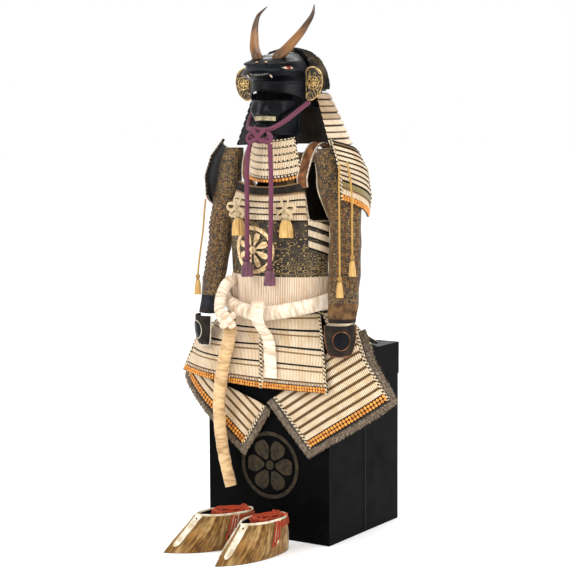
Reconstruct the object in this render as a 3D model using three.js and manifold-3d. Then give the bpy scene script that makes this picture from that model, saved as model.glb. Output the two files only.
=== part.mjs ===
// A samurai armour set out on its own lacquered storage chest, at full size in millimetres.
// +Z is up, the armour faces -Y and the wearer's left side is on +X. The origin is the
// middle of the chest's underside.
import * as THREE from 'three';
import { mergeVertices } from 'three/addons/utils/BufferGeometryUtils.js';
import Module from 'manifold-3d';

const wasm = await Module();
wasm.setup();

const { lerp, degToRad, clamp } = THREE.MathUtils;

// ---- Driving dimensions ----
const CHEST = { width: 405, depth: 385, height: 520, wall: 12 };
const LID = { skirt: 92, wall: 8, top: 12, fit: 0.5, inset: 2 };
const X_AXIS = new THREE.Vector3(1, 0, 0);
const Y_AXIS = new THREE.Vector3(0, 1, 0);
const Z_AXIS = new THREE.Vector3(0, 0, 1);
const SEAM = 0.4; // gap left between neighbouring pieces
const PLATE = 2.5; // thickness of a laced plate with its lacing
const LEDGE = 2.5; // how far each laced row stands over the row below

const BODY_X = 7; // the armour stands a little to its left of the chest's middle
const TORSO_Y = -108; // the body's own axis
const TORSO = [
  { z: 640, halfWidth: 161, halfDepth: 113 },
  { z: 737, halfWidth: 160, halfDepth: 113 },
  { z: 820, halfWidth: 163, halfDepth: 116 },
  { z: 900, halfWidth: 162, halfDepth: 117 },
  { z: 960, halfWidth: 152, halfDepth: 109 },
  { z: 1005, halfWidth: 138, halfDepth: 97 },
  { z: 1040, halfWidth: 126, halfDepth: 88 },
  { z: 1060, halfWidth: 119, halfDepth: 83 },
];
const CUIRASS = { bottom: 737, armhole: 888, frontTop: 993, frontDip: 12, backTop: 1058 };
const WAIST = { top: 736.5, bottom: 644, thickness: 3 };
const TASSET_TOP = 642;

const HEAD_Y = -90; // middle of the neck guard and of the stand's head block
const BOWL = { y: -82, rim: 1240, height: 110, halfWidth: 94, halfDepth: 122, wall: 3 };
const NECK_GUARD = {
  lames: 4,
  topZ: 1236, topHalfWidth: 101, topHalfDepth: 139,
  bottomZ: 1093, bottomHalfWidth: 152, bottomHalfDepth: 232,
  frontAngle: 83,
};

// The arms, from the shoulder down: how far each axis stands out on its own side, how far
// back it lies, and the half sizes across it. The right arm hangs closer to the body.
const ARM = [
  { z: 1084, left: 154, right: 160, y: -124, wide: 32, deep: 25 },
  { z: 1050, left: 162, right: 169, y: -122, wide: 44, deep: 29 },
  { z: 990, left: 178, right: 181, y: -120, wide: 54, deep: 31 },
  { z: 930, left: 193, right: 195, y: -119, wide: 51, deep: 31 },
  { z: 885, left: 205, right: 205, y: -120, wide: 42, deep: 31 },
  { z: 800, left: 212, right: 204, y: -136, wide: 43, deep: 30 },
  { z: 720, left: 223, right: 206, y: -160, wide: 43, deep: 28 },
  { z: 660, left: 232, right: 204, y: -180, wide: 40, deep: 26 },
  { z: 622, left: 238, right: 202, y: -194, wide: 36, deep: 24 },
];
const HAND = { top: 617, bottom: 534, left: 240, right: 202, y: -208, wide: 40, deep: 27 };
const ARM_TURN = 33; // degrees by which the flat of the sleeve faces outwards

// ---- Solids from points ----

/** A closed body: shared points merged, collapsed triangles dropped, faces turned outwards. */
function body(points, triangles) {
  const raw = new THREE.BufferGeometry();
  raw.setAttribute('position', new THREE.Float32BufferAttribute(points.flatMap((p) => p.toArray()), 3));
  raw.setIndex(triangles.flat());
  const merged = mergeVertices(raw, 1e-3);
  const index = merged.getIndex().array;
  const kept = [];
  for (let i = 0; i < index.length; i += 3) {
    const [a, b, c] = [index[i], index[i + 1], index[i + 2]];
    if (a !== b && b !== c && c !== a) {
      kept.push(a, b, c);
    }
  }
  merged.setIndex(volumeOf(merged, kept) > 0 ? kept : kept.reverse());
  return merged;
}

/** Signed volume inside a triangle list. */
function volumeOf(geometry, index) {
  const position = geometry.getAttribute('position');
  const [a, b, c] = [new THREE.Vector3(), new THREE.Vector3(), new THREE.Vector3()];
  let volume = 0;
  for (let i = 0; i < index.length; i += 3) {
    a.fromBufferAttribute(position, index[i]);
    b.fromBufferAttribute(position, index[i + 1]);
    c.fromBufferAttribute(position, index[i + 2]);
    volume += a.dot(b.cross(c)) / 6;
  }
  return volume;
}

/** Only positions, with shared points merged, from any three.js geometry. */
function bare(geometry) {
  const copy = geometry.index ? geometry.toNonIndexed() : geometry.clone();
  const position = copy.getAttribute('position');
  const points = [];
  const triangles = [];
  for (let i = 0; i < position.count; i += 1) {
    points.push(new THREE.Vector3().fromBufferAttribute(position, i));
    if (i % 3 === 2) {
      triangles.push([i - 2, i - 1, i]);
    }
  }
  return body(points, triangles);
}

/** The same piece for the other side of the body. */
function mirrored(geometry) {
  const copy = geometry.clone();
  copy.scale(-1, 1, 1);
  copy.setIndex(Array.from(copy.getIndex().array).reverse());
  return copy;
}

/** A manifold-3d solid of a closed geometry, for cutting and joining. */
function toSolid(geometry) {
  const clean = bare(geometry);
  return new wasm.Manifold(new wasm.Mesh({
    numProp: 3,
    vertProperties: new Float32Array(clean.getAttribute('position').array),
    triVerts: new Uint32Array(clean.getIndex().array),
  }));
}

/** The geometry of a manifold-3d solid. */
function fromSolid(solid) {
  const mesh = solid.getMesh();
  const geometry = new THREE.BufferGeometry();
  geometry.setAttribute('position', new THREE.BufferAttribute(new Float32Array(mesh.vertProperties), 3));
  geometry.setIndex(Array.from(mesh.triVerts));
  return geometry;
}

/** A box given by its middle in plan, its underside and its sizes. */
function block(x, y, bottom, width, depth, height) {
  return new THREE.BoxGeometry(width, depth, height).translate(x, y, bottom + height / 2);
}

/** Evenly spaced values from first to last. */
function spread(first, last, steps) {
  return Array.from({ length: steps + 1 }, (_, i) => lerp(first, last, i / steps));
}

/** A row of a table at one value of its key column, between the rows that are there. */
function sample(table, key, value) {
  const rising = table[0][key] < table.at(-1)[key];
  const rows = rising ? table : [...table].reverse();
  const at = clamp(value, rows[0][key], rows.at(-1)[key]);
  const next = Math.max(1, rows.findIndex((row) => row[key] >= at));
  const [low, high] = [rows[next - 1], rows[next]];
  const t = (at - low[key]) / (high[key] - low[key]);
  return Object.fromEntries(Object.keys(low).map((name) => [name, lerp(low[name], high[name], t)]));
}

/** A smooth hump of height 1 round zero. */
function hump(distance, reach) {
  return Math.exp(-((distance / reach) ** 2));
}

/** The unit normal of point(u, v), outwards where u runs anticlockwise from above and v upwards. */
function normalAt(point, u, v, du, dv) {
  const across = point(u + du, v).sub(point(u - du, v));
  const along = point(u, v + dv).sub(point(u, v - dv));
  const normal = across.cross(along);
  return normal.length() > 1e-9 ? normal.normalize() : new THREE.Vector3(0, 0, 1);
}

/**
 * A wall on the surface point(u, v). Each row names its v and how far the wall's outer and
 * inner faces stand off the surface; two rows at one v with different outer values are a ledge.
 */
function shell(point, columns, rows, closed = false) {
  const du = (columns.at(-1) - columns[0]) * 1e-3;
  const dv = (rows.at(-1).v - rows[0].v) * 1e-3;
  const stand = (offset, u, v) => (typeof offset === 'function' ? offset(u, v) : offset);
  const face = (side) => rows.map((row) => columns.map((u) => {
    const normal = normalAt(point, u, row.v, du, dv);
    return point(u, row.v).addScaledVector(normal, stand(row[side], u, row.v));
  }));
  return wallBetween(face('outer'), face('inner'), closed);
}

/** The closed body between two grids of points of the same size. */
function wallBetween(outer, inner, closed) {
  const high = outer.length;
  const wide = outer[0].length;
  const points = [...outer.flat(), ...inner.flat()];
  const out = (i, j) => i * wide + (j % wide);
  const into = (i, j) => high * wide + out(i, j);
  const triangles = [];
  const quad = (a, b, c, d) => triangles.push([a, b, c], [a, c, d]);
  const spans = closed ? wide : wide - 1;
  for (let j = 0; j < spans; j += 1) {
    for (let i = 0; i < high - 1; i += 1) {
      quad(out(i, j), out(i, j + 1), out(i + 1, j + 1), out(i + 1, j));
      quad(into(i, j), into(i + 1, j), into(i + 1, j + 1), into(i, j + 1));
    }
    quad(into(0, j), into(0, j + 1), out(0, j + 1), out(0, j));
    quad(out(high - 1, j), out(high - 1, j + 1), into(high - 1, j + 1), into(high - 1, j));
  }
  if (!closed) {
    for (let i = 0; i < high - 1; i += 1) {
      quad(out(i, 0), out(i + 1, 0), into(i + 1, 0), into(i, 0));
      quad(out(i, wide - 1), into(i, wide - 1), into(i + 1, wide - 1), out(i + 1, wide - 1));
    }
  }
  return body(points, triangles);
}

/** Plain rows of a wall. */
function plainRows(values, outer, inner) {
  return values.map((v) => ({ v, outer, inner }));
}

/** Laced rows from one v up to another, each standing over the row below it. */
function lacedRows(from, to, count, ledge = LEDGE, thickness = PLATE) {
  return Array.from({ length: count }, (_, k) => [
    { v: lerp(from, to, k / count), outer: ledge, inner: -thickness },
    { v: lerp(from, to, (k + 1) / count), outer: 0, inner: -thickness },
  ]).flat();
}

/** A body through rings of points; the ends are closed, or the last ring joins the first. */
function loft(rings, joined = false) {
  const sides = rings[0].length;
  const points = rings.flat();
  const triangles = [];
  const spans = joined ? rings.length : rings.length - 1;
  for (let i = 0; i < spans; i += 1) {
    const here = i * sides;
    const there = ((i + 1) % rings.length) * sides;
    for (let j = 0; j < sides; j += 1) {
      const k = (j + 1) % sides;
      triangles.push([here + j, here + k, there + k], [here + j, there + k, there + j]);
    }
  }
  if (!joined) {
    const last = (rings.length - 1) * sides;
    for (let j = 1; j < sides - 1; j += 1) {
      triangles.push([0, j + 1, j], [last, last + j, last + j + 1]);
    }
  }
  return body(points, triangles);
}

/**
 * A soft roll or a horn: oval rings square to a curve. aside is the axis that the half size
 * across is measured along, and along is the half size square to it.
 */
function roll(curve, steps, sides, aside, size, joined = false) {
  const rings = spread(0, 1, steps).slice(0, joined ? steps : steps + 1).map((t) => {
    const centre = curve.getPoint(t);
    const tangent = curve.getTangent(t);
    const side = aside.clone().addScaledVector(tangent, -aside.dot(tangent)).normalize();
    const lift = new THREE.Vector3().crossVectors(tangent, side);
    const { across, along } = size(t);
    return spread(0, 360, sides).slice(0, sides).map((angle) => centre.clone()
      .addScaledVector(side, across * Math.cos(degToRad(angle)))
      .addScaledVector(lift, along * Math.sin(degToRad(angle))));
  });
  return loft(rings, joined);
}

/** A round cord along the points. */
function cord(points, diameter, sides, steps) {
  const section = new THREE.Shape(spread(0, 360, sides).slice(0, sides).map((angle) => new THREE.Vector2(
    Math.cos(degToRad(angle)) * diameter / 2,
    Math.sin(degToRad(angle)) * diameter / 2,
  )));
  const curve = new THREE.CatmullRomCurve3(points.map((p) => new THREE.Vector3(...p)));
  return bare(new THREE.ExtrudeGeometry(section, { extrudePath: curve, steps }));
}

/** A tassel hanging from its top: a knotted head, a bound neck and a skirt of threads. */
function tassel(x, y, top, length, radius) {
  const profile = [
    [0, 0], [radius * 0.5, 0], [radius * 0.72, 0.12], [radius * 0.5, 0.26],
    [radius * 0.82, 0.5], [radius, 1], [0, 1],
  ].map(([r, down]) => new THREE.Vector2(r, -down * length));
  const turned = new THREE.LatheGeometry(profile.reverse(), 10).rotateX(Math.PI / 2);
  return bare(turned.translate(x, y, top));
}

/** A point on an upright oval; angle 0 is the front and 90 the wearer's left. */
function ovalPoint(angle, halfWidth, halfDepth, middleY, z) {
  const turn = degToRad(angle);
  return new THREE.Vector3(halfWidth * Math.sin(turn), middleY - halfDepth * Math.cos(turn), z);
}

// ---- The group and its finishes ----

const FINISH = {
  lacquer: { color: 0x17161a, roughness: 0.35, metalness: 0 },
  chest: { color: 0x111216, roughness: 0.45, metalness: 0 },
  wood: { color: 0x8a6a45, roughness: 0.8, metalness: 0 },
  lacing: { color: 0xe6d6b8, roughness: 0.85, metalness: 0 },
  brocade: { color: 0x5a4526, roughness: 0.9, metalness: 0 },
  leather: { color: 0x2a211a, roughness: 0.6, metalness: 0 },
  strap: { color: 0x7a4a2c, roughness: 0.7, metalness: 0 },
  sash: { color: 0xe2cda6, roughness: 0.9, metalness: 0 },
  purple: { color: 0x8a4a68, roughness: 0.85, metalness: 0 },
  yellow: { color: 0xd9a23a, roughness: 0.85, metalness: 0 },
  horn: { color: 0x6e4a28, roughness: 0.4, metalness: 0 },
  fur: { color: 0x7a6252, roughness: 1, metalness: 0 },
  bearFur: { color: 0x7c5528, roughness: 1, metalness: 0 },
};

const set = new THREE.Group();
const armour = new THREE.Group();
armour.position.set(BODY_X, 0, 0);
set.add(armour);

/** Adds one named piece with its own material, to the armour or straight to the set. */
function add(name, geometry, finish, group = armour) {
  const mesh = new THREE.Mesh(geometry, new THREE.MeshStandardMaterial(FINISH[finish]));
  mesh.name = name;
  group.add(mesh);
}

/** Adds a piece made for the wearer's left and the same piece mirrored for the right. */
function addPair(name, geometry, finish) {
  add(`${name}_left`, geometry, finish);
  add(`${name}_right`, mirrored(geometry), finish);
}

// ---- Chest and stand ----

/** The chest: a box open at the top, with a rebated rim that the deep lid slides over. */
function addChest() {
  const lidBottom = CHEST.height - LID.skirt;
  const width = CHEST.width - 2 * LID.inset;
  const depth = CHEST.depth - 2 * LID.inset;
  const rimHeight = CHEST.height - LID.top - 2;
  const rimWidth = CHEST.width - 2 * (LID.wall + LID.fit);
  const rimDepth = CHEST.depth - 2 * (LID.wall + LID.fit);
  const cavityWidth = rimWidth - 2 * CHEST.wall;
  const cavityDepth = rimDepth - 2 * CHEST.wall;
  const lower = toSolid(block(0, 0, 0, width, depth, lidBottom - LID.fit));
  const rim = toSolid(block(0, 0, CHEST.wall, rimWidth, rimDepth, rimHeight - CHEST.wall));
  const cavity = toSolid(block(0, 0, CHEST.wall, cavityWidth, cavityDepth, CHEST.height));
  add('chest_body', fromSolid(lower.add(rim).subtract(cavity)), 'chest', set);

  const cover = toSolid(block(0, 0, lidBottom, CHEST.width, CHEST.depth, LID.skirt));
  const hollow = toSolid(block(
    0, 0, lidBottom - 1,
    CHEST.width - 2 * LID.wall, CHEST.depth - 2 * LID.wall, LID.skirt - LID.top + 1,
  ));
  add('chest_lid', fromSolid(cover.subtract(hollow)), 'chest', set);
}

/** The plain wooden cross that carries the cuirass, and the block that carries the helmet. */
function addStand() {
  const base = CHEST.height + SEAM;
  const foot = toSolid(block(0, TORSO_Y, base, 150, 120, 18));
  const post = toSolid(block(0, TORSO_Y, base + 17, 40, 40, 555));
  const bar = toSolid(block(0, TORSO_Y, 1046, 190, 40, 26));
  add('stand_post', fromSolid(foot.add(post).add(bar)), 'wood');

  const profile = [[0, 1093], [30, 1093], [30, 1190], [58, 1232], [66, 1268], [54, 1310], [28, 1330], [0, 1334]]
    .map(([r, z]) => new THREE.Vector2(r, z));
  const head = new THREE.LatheGeometry(profile, 14).rotateX(Math.PI / 2).translate(0, HEAD_Y - 6, 0);
  add('stand_head_block', bare(head), 'wood');
}

// ---- Helmet ----

/** The bowl's surface; v runs from the rim at 0 to the crown at 1. */
function bowlPoint(angle, v) {
  const turn = degToRad(90 * clamp(v, -0.2, 1));
  const reach = Math.max(0, Math.cos(turn)) ** 0.75;
  const rise = Math.sign(turn) * Math.abs(Math.sin(turn)) ** 0.9;
  return ovalPoint(
    angle, BOWL.halfWidth * reach, BOWL.halfDepth * reach, BOWL.y,
    BOWL.rim + BOWL.height * rise,
  );
}

/** How far the carved beast face stands out from the bowl at a height: a broad blunt head with
 *  a snout, brows over hollow eyes, and a boss under each horn. */
function beastRelief(angle, z) {
  const side = Math.abs(angle);
  const box = 1 / (1 + ((z - 1303) / 29) ** 6);
  const across = 1 / (1 + (side / 50) ** 8);
  return 7
    + 33 * box * across
    + 5 * hump(angle, 14) * hump(z - 1300, 14)
    + 6 * hump(side - 34, 15) * hump(z - 1317, 7)
    + 14 * hump(side - 24, 10) * hump(z - 1334, 10)
    - 7 * hump(side - 38, 8) * hump(z - 1302, 6);
}

/** The carved head, its back on the bowl. Grown by a little and sunk deeper, it cuts the horns. */
function beastGeometry(grown = 0, back = 0.8) {
  const angles = spread(-62, 62, 20);
  const levels = [1269 - grown, 1276, 1283, 1292, 1302, 1310, 1318, 1327, 1334, 1340 + grown];
  const bowlAt = (z) => Math.asin(clamp((z - BOWL.rim) / BOWL.height, 0, 1) ** (1 / 0.9)) / (Math.PI / 2);
  const outer = levels.map((z) => angles.map((angle) => {
    const reach = Math.cos(bowlAt(z) * Math.PI / 2) ** 0.75;
    const relief = beastRelief(angle, z) + grown;
    return ovalPoint(angle, BOWL.halfWidth * reach + relief, BOWL.halfDepth * reach + relief, BOWL.y, z);
  }));
  const inner = levels.map((z) => angles.map((angle) => {
    const v = bowlAt(z);
    return bowlPoint(angle, v).addScaledVector(normalAt(bowlPoint, angle, v, 0.1, 0.001), back);
  }));
  return wallBetween(outer, inner, false);
}

/** The brim under the beast's upper jaw, its lower edge arched over the brow. */
function peakPoint(angle, v) {
  const droop = 31 * (angle / 70) ** 2;
  const low = ovalPoint(angle, 98, 127, BOWL.y, 1243 - droop);
  const high = ovalPoint(angle, 96, 124.5, BOWL.y, 1268);
  return low.lerp(high, v);
}

/** A horn: it leaves the brow, sweeps outwards and back, and rises to a point. */
function hornGeometry(side) {
  const curve = new THREE.CatmullRomCurve3([
    [28, -185, 1321], [34, -190, 1333], [45, -180, 1345], [56, -170, 1360], [67, -154, 1380], [77, -138, 1400],
    [84, -124, 1420], [89, -108, 1440], [88, -96, 1455], [78, -74, 1475],
  ].map((p) => new THREE.Vector3(...p)));
  const tube = roll(curve, 13, 10, X_AXIS, (t) => {
    const radius = lerp(15, 1.2, t ** 1.8);
    return { across: radius, along: radius * 0.9 };
  });
  const horn = toSolid(side === 'left' ? tube : mirrored(tube));
  const cut = horn.subtract(toSolid(beastGeometry(SEAM, -12))).decompose();
  return fromSolid(cut.reduce((a, b) => (a.volume() > b.volume() ? a : b)));
}

/** A turned-back end of the neck guard: an upright plate with a rounded outer side. */
function turnBackGeometry() {
  const shape = new THREE.Shape();
  shape.moveTo(91, 1222);
  shape.lineTo(91, 1296);
  shape.quadraticCurveTo(98, 1305, 112, 1304);
  shape.quadraticCurveTo(140, 1299, 141, 1269);
  shape.quadraticCurveTo(140, 1229, 109, 1217);
  shape.quadraticCurveTo(96, 1213, 91, 1222);
  const plate = new THREE.ExtrudeGeometry(shape, { depth: 3, bevelEnabled: false, curveSegments: 5 });
  return bare(plate.rotateX(Math.PI / 2).translate(0, -134, 0));
}

function addHelmet() {
  const around = spread(0, 360, 20).slice(0, 20);
  add('helmet_bowl', shell(bowlPoint, around, plainRows([0, 0.2, 0.42, 0.64, 0.84, 1], 0, -BOWL.wall), true), 'lacquer');

  const locks = spread(76, 284, 26);
  const mane = plainRows([0.02, 0.22, 0.44, 0.66, 0.86, 0.97], 0, 1).map((row, level) => ({
    ...row,
    outer: (angle) => (locks.indexOf(angle) % 2 === level % 2 ? 11 : 7.5),
  }));
  add('helmet_mane', shell(bowlPoint, locks, mane), 'lacquer');

  add('helmet_beast_face', beastGeometry(), 'lacquer');
  add('helmet_peak', shell(peakPoint, spread(-66, 66, 12), plainRows([0, 0.5, 1], 0, -3)), 'lacquer');
  add('horn_left', hornGeometry('left'), 'horn');
  add('horn_right', hornGeometry('right'), 'horn');
  addPair('turn_back', turnBackGeometry(), 'lacquer');

  const guard = NECK_GUARD;
  const lamePoint = (angle, v) => ovalPoint(
    angle,
    lerp(guard.bottomHalfWidth, guard.topHalfWidth, v),
    lerp(guard.bottomHalfDepth, guard.topHalfDepth, v),
    HEAD_Y,
    lerp(guard.bottomZ, guard.topZ, v),
  );
  const columns = spread(guard.frontAngle, 360 - guard.frontAngle, 16);
  for (let lame = 0; lame < guard.lames; lame += 1) {
    const top = 1 - lame / guard.lames;
    const height = 1 / guard.lames - 0.012;
    const rows = lacedRows(top - height, top, 2, 3, PLATE);
    add(`neck_guard_lame_${lame + 1}`, shell(lamePoint, columns, rows), 'lacing');
  }
}

// ---- Face mask and throat guard ----

/** A calm half mask from the bridge of the nose to under the chin, on plain proportions. */
function addMask() {
  const middleY = -125;
  const maskPoint = (angle, v) => {
    const z = lerp(1121, 1216, v);
    const halfWidth = 62 + 10 * Math.sin(Math.PI * clamp(v + 0.1, 0, 1) * 0.5);
    return ovalPoint(angle, halfWidth, 80 + 6 * v, middleY, z);
  };
  const relief = (angle, v) => {
    const side = Math.abs(angle);
    const nose = 23 * hump(angle, 10 + 5 * (1 - v)) * clamp((1.06 - v) * 2.2, 0, 1) * clamp((v - 0.52) * 9, 0, 1);
    const chin = 9 * hump(angle, 22) * hump(v - 0.12, 0.16);
    const cheeks = 6 * hump(side - 40, 16) * hump(v - 0.72, 0.2);
    const mouth = -4 * hump(angle, 17) * hump(v - 0.36, 0.05);
    return 2 + nose + chin + cheeks + mouth;
  };
  const rows = plainRows([0, 0.1, 0.24, 0.36, 0.48, 0.6, 0.74, 0.88, 1], relief, -3);
  const columns = [-84, -66, -48, -32, -20, -10, 0, 10, 20, 32, 48, 66, 84];
  add('face_mask', shell(maskPoint, columns, rows), 'lacquer');
}

/** The laced throat guard that hangs from the mask, its rows curved round the neck. */
function addThroatGuard() {
  const throatPoint = (angle, v) => {
    const rise = 14 * (angle / 58) ** 2 * (1 - 0.5 * v);
    return ovalPoint(angle, lerp(98, 74, v), lerp(93, 84, v), lerp(-122, -134, v), lerp(993, 1108, v) + rise);
  };
  add('throat_guard', shell(throatPoint, spread(-58, 60, 12), lacedRows(0, 1, 5)).translate(9, 0, 0), 'lacing');
}

// ---- Cuirass ----

/** The body's surface at a height. */
function torsoPoint(angle, z) {
  const size = sample(TORSO, 'z', z);
  return ovalPoint(angle, size.halfWidth, size.halfDepth, TORSO_Y, z);
}

/** The cuirass's upper edge: dipped at the throat, level at the back, cut deep under the arm. */
function cuirassTop(angle) {
  const fromFront = Math.abs(angle);
  const fromBack = Math.abs(angle - 180);
  const dip = CUIRASS.frontDip * Math.max(0, 1 - (fromFront / 40) ** 2);
  const [near, level, slope, top] = fromFront < 90
    ? [fromFront, 48, 4, CUIRASS.frontTop - dip]
    : [fromBack, 46, 30, CUIRASS.backTop];
  const t = clamp((near - level) / slope, 0, 1);
  return lerp(top, CUIRASS.armhole + 4, (1 - Math.cos(Math.PI * t)) / 2);
}

function addCuirass() {
  // Up to v = 1 the wall is level; from 1 to 2 it follows the upper edge.
  const point = (angle, v) => torsoPoint(angle, v < 1
    ? lerp(CUIRASS.bottom, CUIRASS.armhole, v)
    : lerp(CUIRASS.armhole, cuirassTop(angle), v - 1));
  const rows = [
    ...plainRows([0, 0.5], 0, -PLATE),
    { v: 1, outer: 0, inner: -PLATE },
    ...lacedRows(1, 1.78, 3),
    ...plainRows([1.78, 2], 3.5, -PLATE),
  ];
  const front = [-89.6, -76, -62, -52, -48, -36, -24, -12, 0, 12, 24, 36, 48, 52, 62, 76, 89.6];
  add('cuirass_front', shell(point, front, rows), 'leather');
  add('cuirass_back', shell(point, spread(90.4, 269.6, 16), rows), 'leather');

  const waist = (angle, v) => torsoPoint(angle, lerp(WAIST.bottom, WAIST.top, v));
  const lacing = plainRows([0, 0.5, 1], 1, 1 - WAIST.thickness);
  add('waist_lacing', shell(waist, spread(0, 360, 28).slice(0, 28), lacing, true), 'lacing');

  const path = new THREE.CatmullRomCurve3([
    [-184, 1005], [-172, 1030], [-152, 1064], [-126, 1090], [-98, 1098], [-66, 1088], [-36, 1066],
  ].map(([y, z]) => new THREE.Vector3(0, y, z)));
  const strap = (x, v) => {
    const on = path.getPoint(clamp(v, 0, 1));
    return new THREE.Vector3(x - 8 * Math.sin(Math.PI * v), on.y, on.z);
  };
  const strapRows = plainRows(spread(0, 1, 8), 2, -2);
  add('shoulder_strap_left', shell(strap, [97, 113.5, 130], strapRows), 'strap');
  add('shoulder_strap_right', mirrored(shell(strap, [85, 101.5, 118], strapRows)), 'strap');
}

// ---- Tassets ----

// Each section hangs from the waist between two angles. Its knee and hem curves run from one
// end (from) to the other (to), bowed outwards in the middle.
const TASSETS = [
  {
    name: 'front_left', angles: [0.4, 63], bow: 3,
    knee: { from: [-11, -212, 540], to: [190, -208, 535] },
    hem: { from: [-11, -213, 425], to: [202, -211, 428] },
  },
  {
    name: 'front_right', angles: [-36, -0.4], bow: 2,
    knee: { from: [-119, -210, 538], to: [-12, -212, 540] },
    hem: { from: [-124, -211, 430], to: [-13, -213, 425] },
  },
  {
    name: 'side_right', angles: [-100, -37], bow: 24, hemBow: 12,
    knee: { from: [-282, -134, 545], to: [-121, -210, 538] },
    hem: { from: [-295, -190, 448], to: [-126.5, -213, 430] },
  },
  {
    name: 'side_left', angles: [65, 118], bow: 3,
    knee: { from: [204, -164, 535], to: [205, 10, 535] },
    hem: { from: [212, -164, 440], to: [216, 12, 440] },
  },
  {
    name: 'back', angles: [120, 238], bow: 58, hemBow: 86, spans: 14,
    knee: { from: [168, 32, 560], to: [-188, 12, 560] },
    hem: { from: [182, 92, 526], to: [-196, 76, 526] },
  },
];

/** A point of a tasset: u from one end to the other, v from the hem at 0 to the waist at 1. */
function tassetPoint(row, u, v) {
  const angle = lerp(row.angles[0], row.angles[1], u);
  const top = torsoPoint(angle, TASSET_TOP);
  const alongEdge = (edge, bow) => {
    const from = new THREE.Vector3(...edge.from);
    const to = new THREE.Vector3(...edge.to);
    const outwards = new THREE.Vector3(to.y - from.y, from.x - to.x, 0).normalize();
    return from.lerp(to, u).addScaledVector(outwards, bow * Math.sin(Math.PI * clamp(u, 0, 1)));
  };
  const knee = alongEdge(row.knee, row.bow);
  const hem = alongEdge(row.hem, row.hemBow ?? row.bow);
  const kneeAt = 0.52;
  if (v < kneeAt) {
    return hem.lerp(knee, v / kneeAt);
  }
  return knee.lerp(top, (v - kneeAt) / (1 - kneeAt));
}

function addTassets() {
  for (const row of TASSETS) {
    const point = (u, v) => tassetPoint(row, u, v);
    const rows = lacedRows(0, 1, 5);
    add(`tasset_${row.name}`, shell(point, spread(0, 1, row.spans ?? 7), rows), 'lacing');
  }
}

// ---- Sash ----

const SASH = { radius: 20, sideRadius: 11, halfWidth: 175, halfDepth: 137, frontZ: 637, backZ: 712 };

function addSash() {
  const angles = spread(0, 360, 24).slice(0, 24);
  const ring = angles.map((angle) => {
    const rise = (1 - Math.cos(degToRad(angle))) / 2;
    return ovalPoint(angle, SASH.halfWidth, SASH.halfDepth, TORSO_Y, lerp(SASH.frontZ, SASH.backZ, rise ** 0.7));
  });
  // The roll is round in front and pressed flatter where the arms hang against it.
  const beltSize = (t) => {
    const pressed = Math.sin(2 * Math.PI * t) ** 2;
    return { across: SASH.radius, along: lerp(SASH.radius, SASH.sideRadius, pressed) };
  };
  const belt = new THREE.CatmullRomCurve3(ring, true);
  add('sash_belt', roll(belt, 28, 8, Z_AXIS, beltSize, true), 'sash');

  const through = (points) => new THREE.CatmullRomCurve3(points.map((p) => new THREE.Vector3(...p)));
  const loop = through([
    [-111, -204, 724], [-124, -224, 702], [-126, -244, 672], [-115, -264, 642], [-98, -276, 624],
    [-76, -282, 612],
  ]);
  add('sash_loop', roll(loop, 10, 8, Y_AXIS, () => ({ across: 11, along: 17 })), 'sash');

  const long = through([
    [-84, -258, 592], [-98, -244, 560], [-120, -237, 500], [-134, -236, 430], [-140, -236, 370],
    [-134, -236, 280], [-118, -236, 200], [-101, -236, 142],
  ]);
  add('sash_end_long', roll(long, 14, 8, X_AXIS, (t) => ({ across: 19 - 2 * t, along: 17 - 2 * t })), 'sash');

  const short = through([
    [24, -279, 676], [24, -285, 640], [24, -276, 612], [24, -250, 588], [24, -230, 562], [25, -224, 510],
    [26, -222, 458],
  ]);
  add('sash_end_short', roll(short, 12, 8, X_AXIS, () => ({ across: 20, along: 5 })), 'sash');
}

// ---- Thigh guards ----

// Each panel hangs by one corner: low is its lowest corner and lean the angle of its rows.
// Its inner and outer sides lean off the upright by their own turns. bend is where it curves
// back, and past the chest's lid it leans in towards the body.
const THIGH = { base: -198, row: 23, trim: 15, lidZ: 522, leanIn: 0.5 };
const THIGH_GUARDS = [
  {
    name: 'left', side: 1, low: [138, 268], lean: 32.6, width: 268,
    inner: { turn: 42, height: 176 }, outer: { turn: 30, height: 205 },
    bend: { from: 183, radius: 208 },
  },
  {
    name: 'right', side: -1, low: [-82, 256], lean: 39.5, width: 276,
    inner: { turn: 33, height: 140 }, outer: { turn: 33, height: 38 },
    bend: { from: 179, radius: 225 },
  },
];

/** The surface that a thigh guard hangs on: flat over the chest's front, then bent back. */
function apronPoint(guard, flatX, z) {
  const past = Math.abs(flatX) - guard.bend.from;
  const turn = Math.max(0, past) / guard.bend.radius;
  const x = Math.min(Math.abs(flatX), guard.bend.from) + guard.bend.radius * Math.sin(turn);
  const leanIn = THIGH.leanIn * Math.max(0, z - THIGH.lidZ) * clamp((x - 120) / 80, 0, 1);
  const y = THIGH.base + guard.bend.radius * (1 - Math.cos(turn)) + leanIn;
  return new THREE.Vector3(Math.sign(flatX) * x, y, z);
}

/** A point of a panel: across from the low corner along the rows, and up along its sides. */
function thighPoint(guard, across, up) {
  const lean = degToRad(guard.lean);
  const turn = degToRad(lerp(guard.inner.turn, guard.outer.turn, across / guard.width));
  const flatX = guard.low[0] + guard.side * (across * Math.cos(lean) - up * Math.sin(turn));
  const z = guard.low[1] + across * Math.sin(lean) + up * Math.cos(turn);
  return apronPoint(guard, flatX, z);
}

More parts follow.
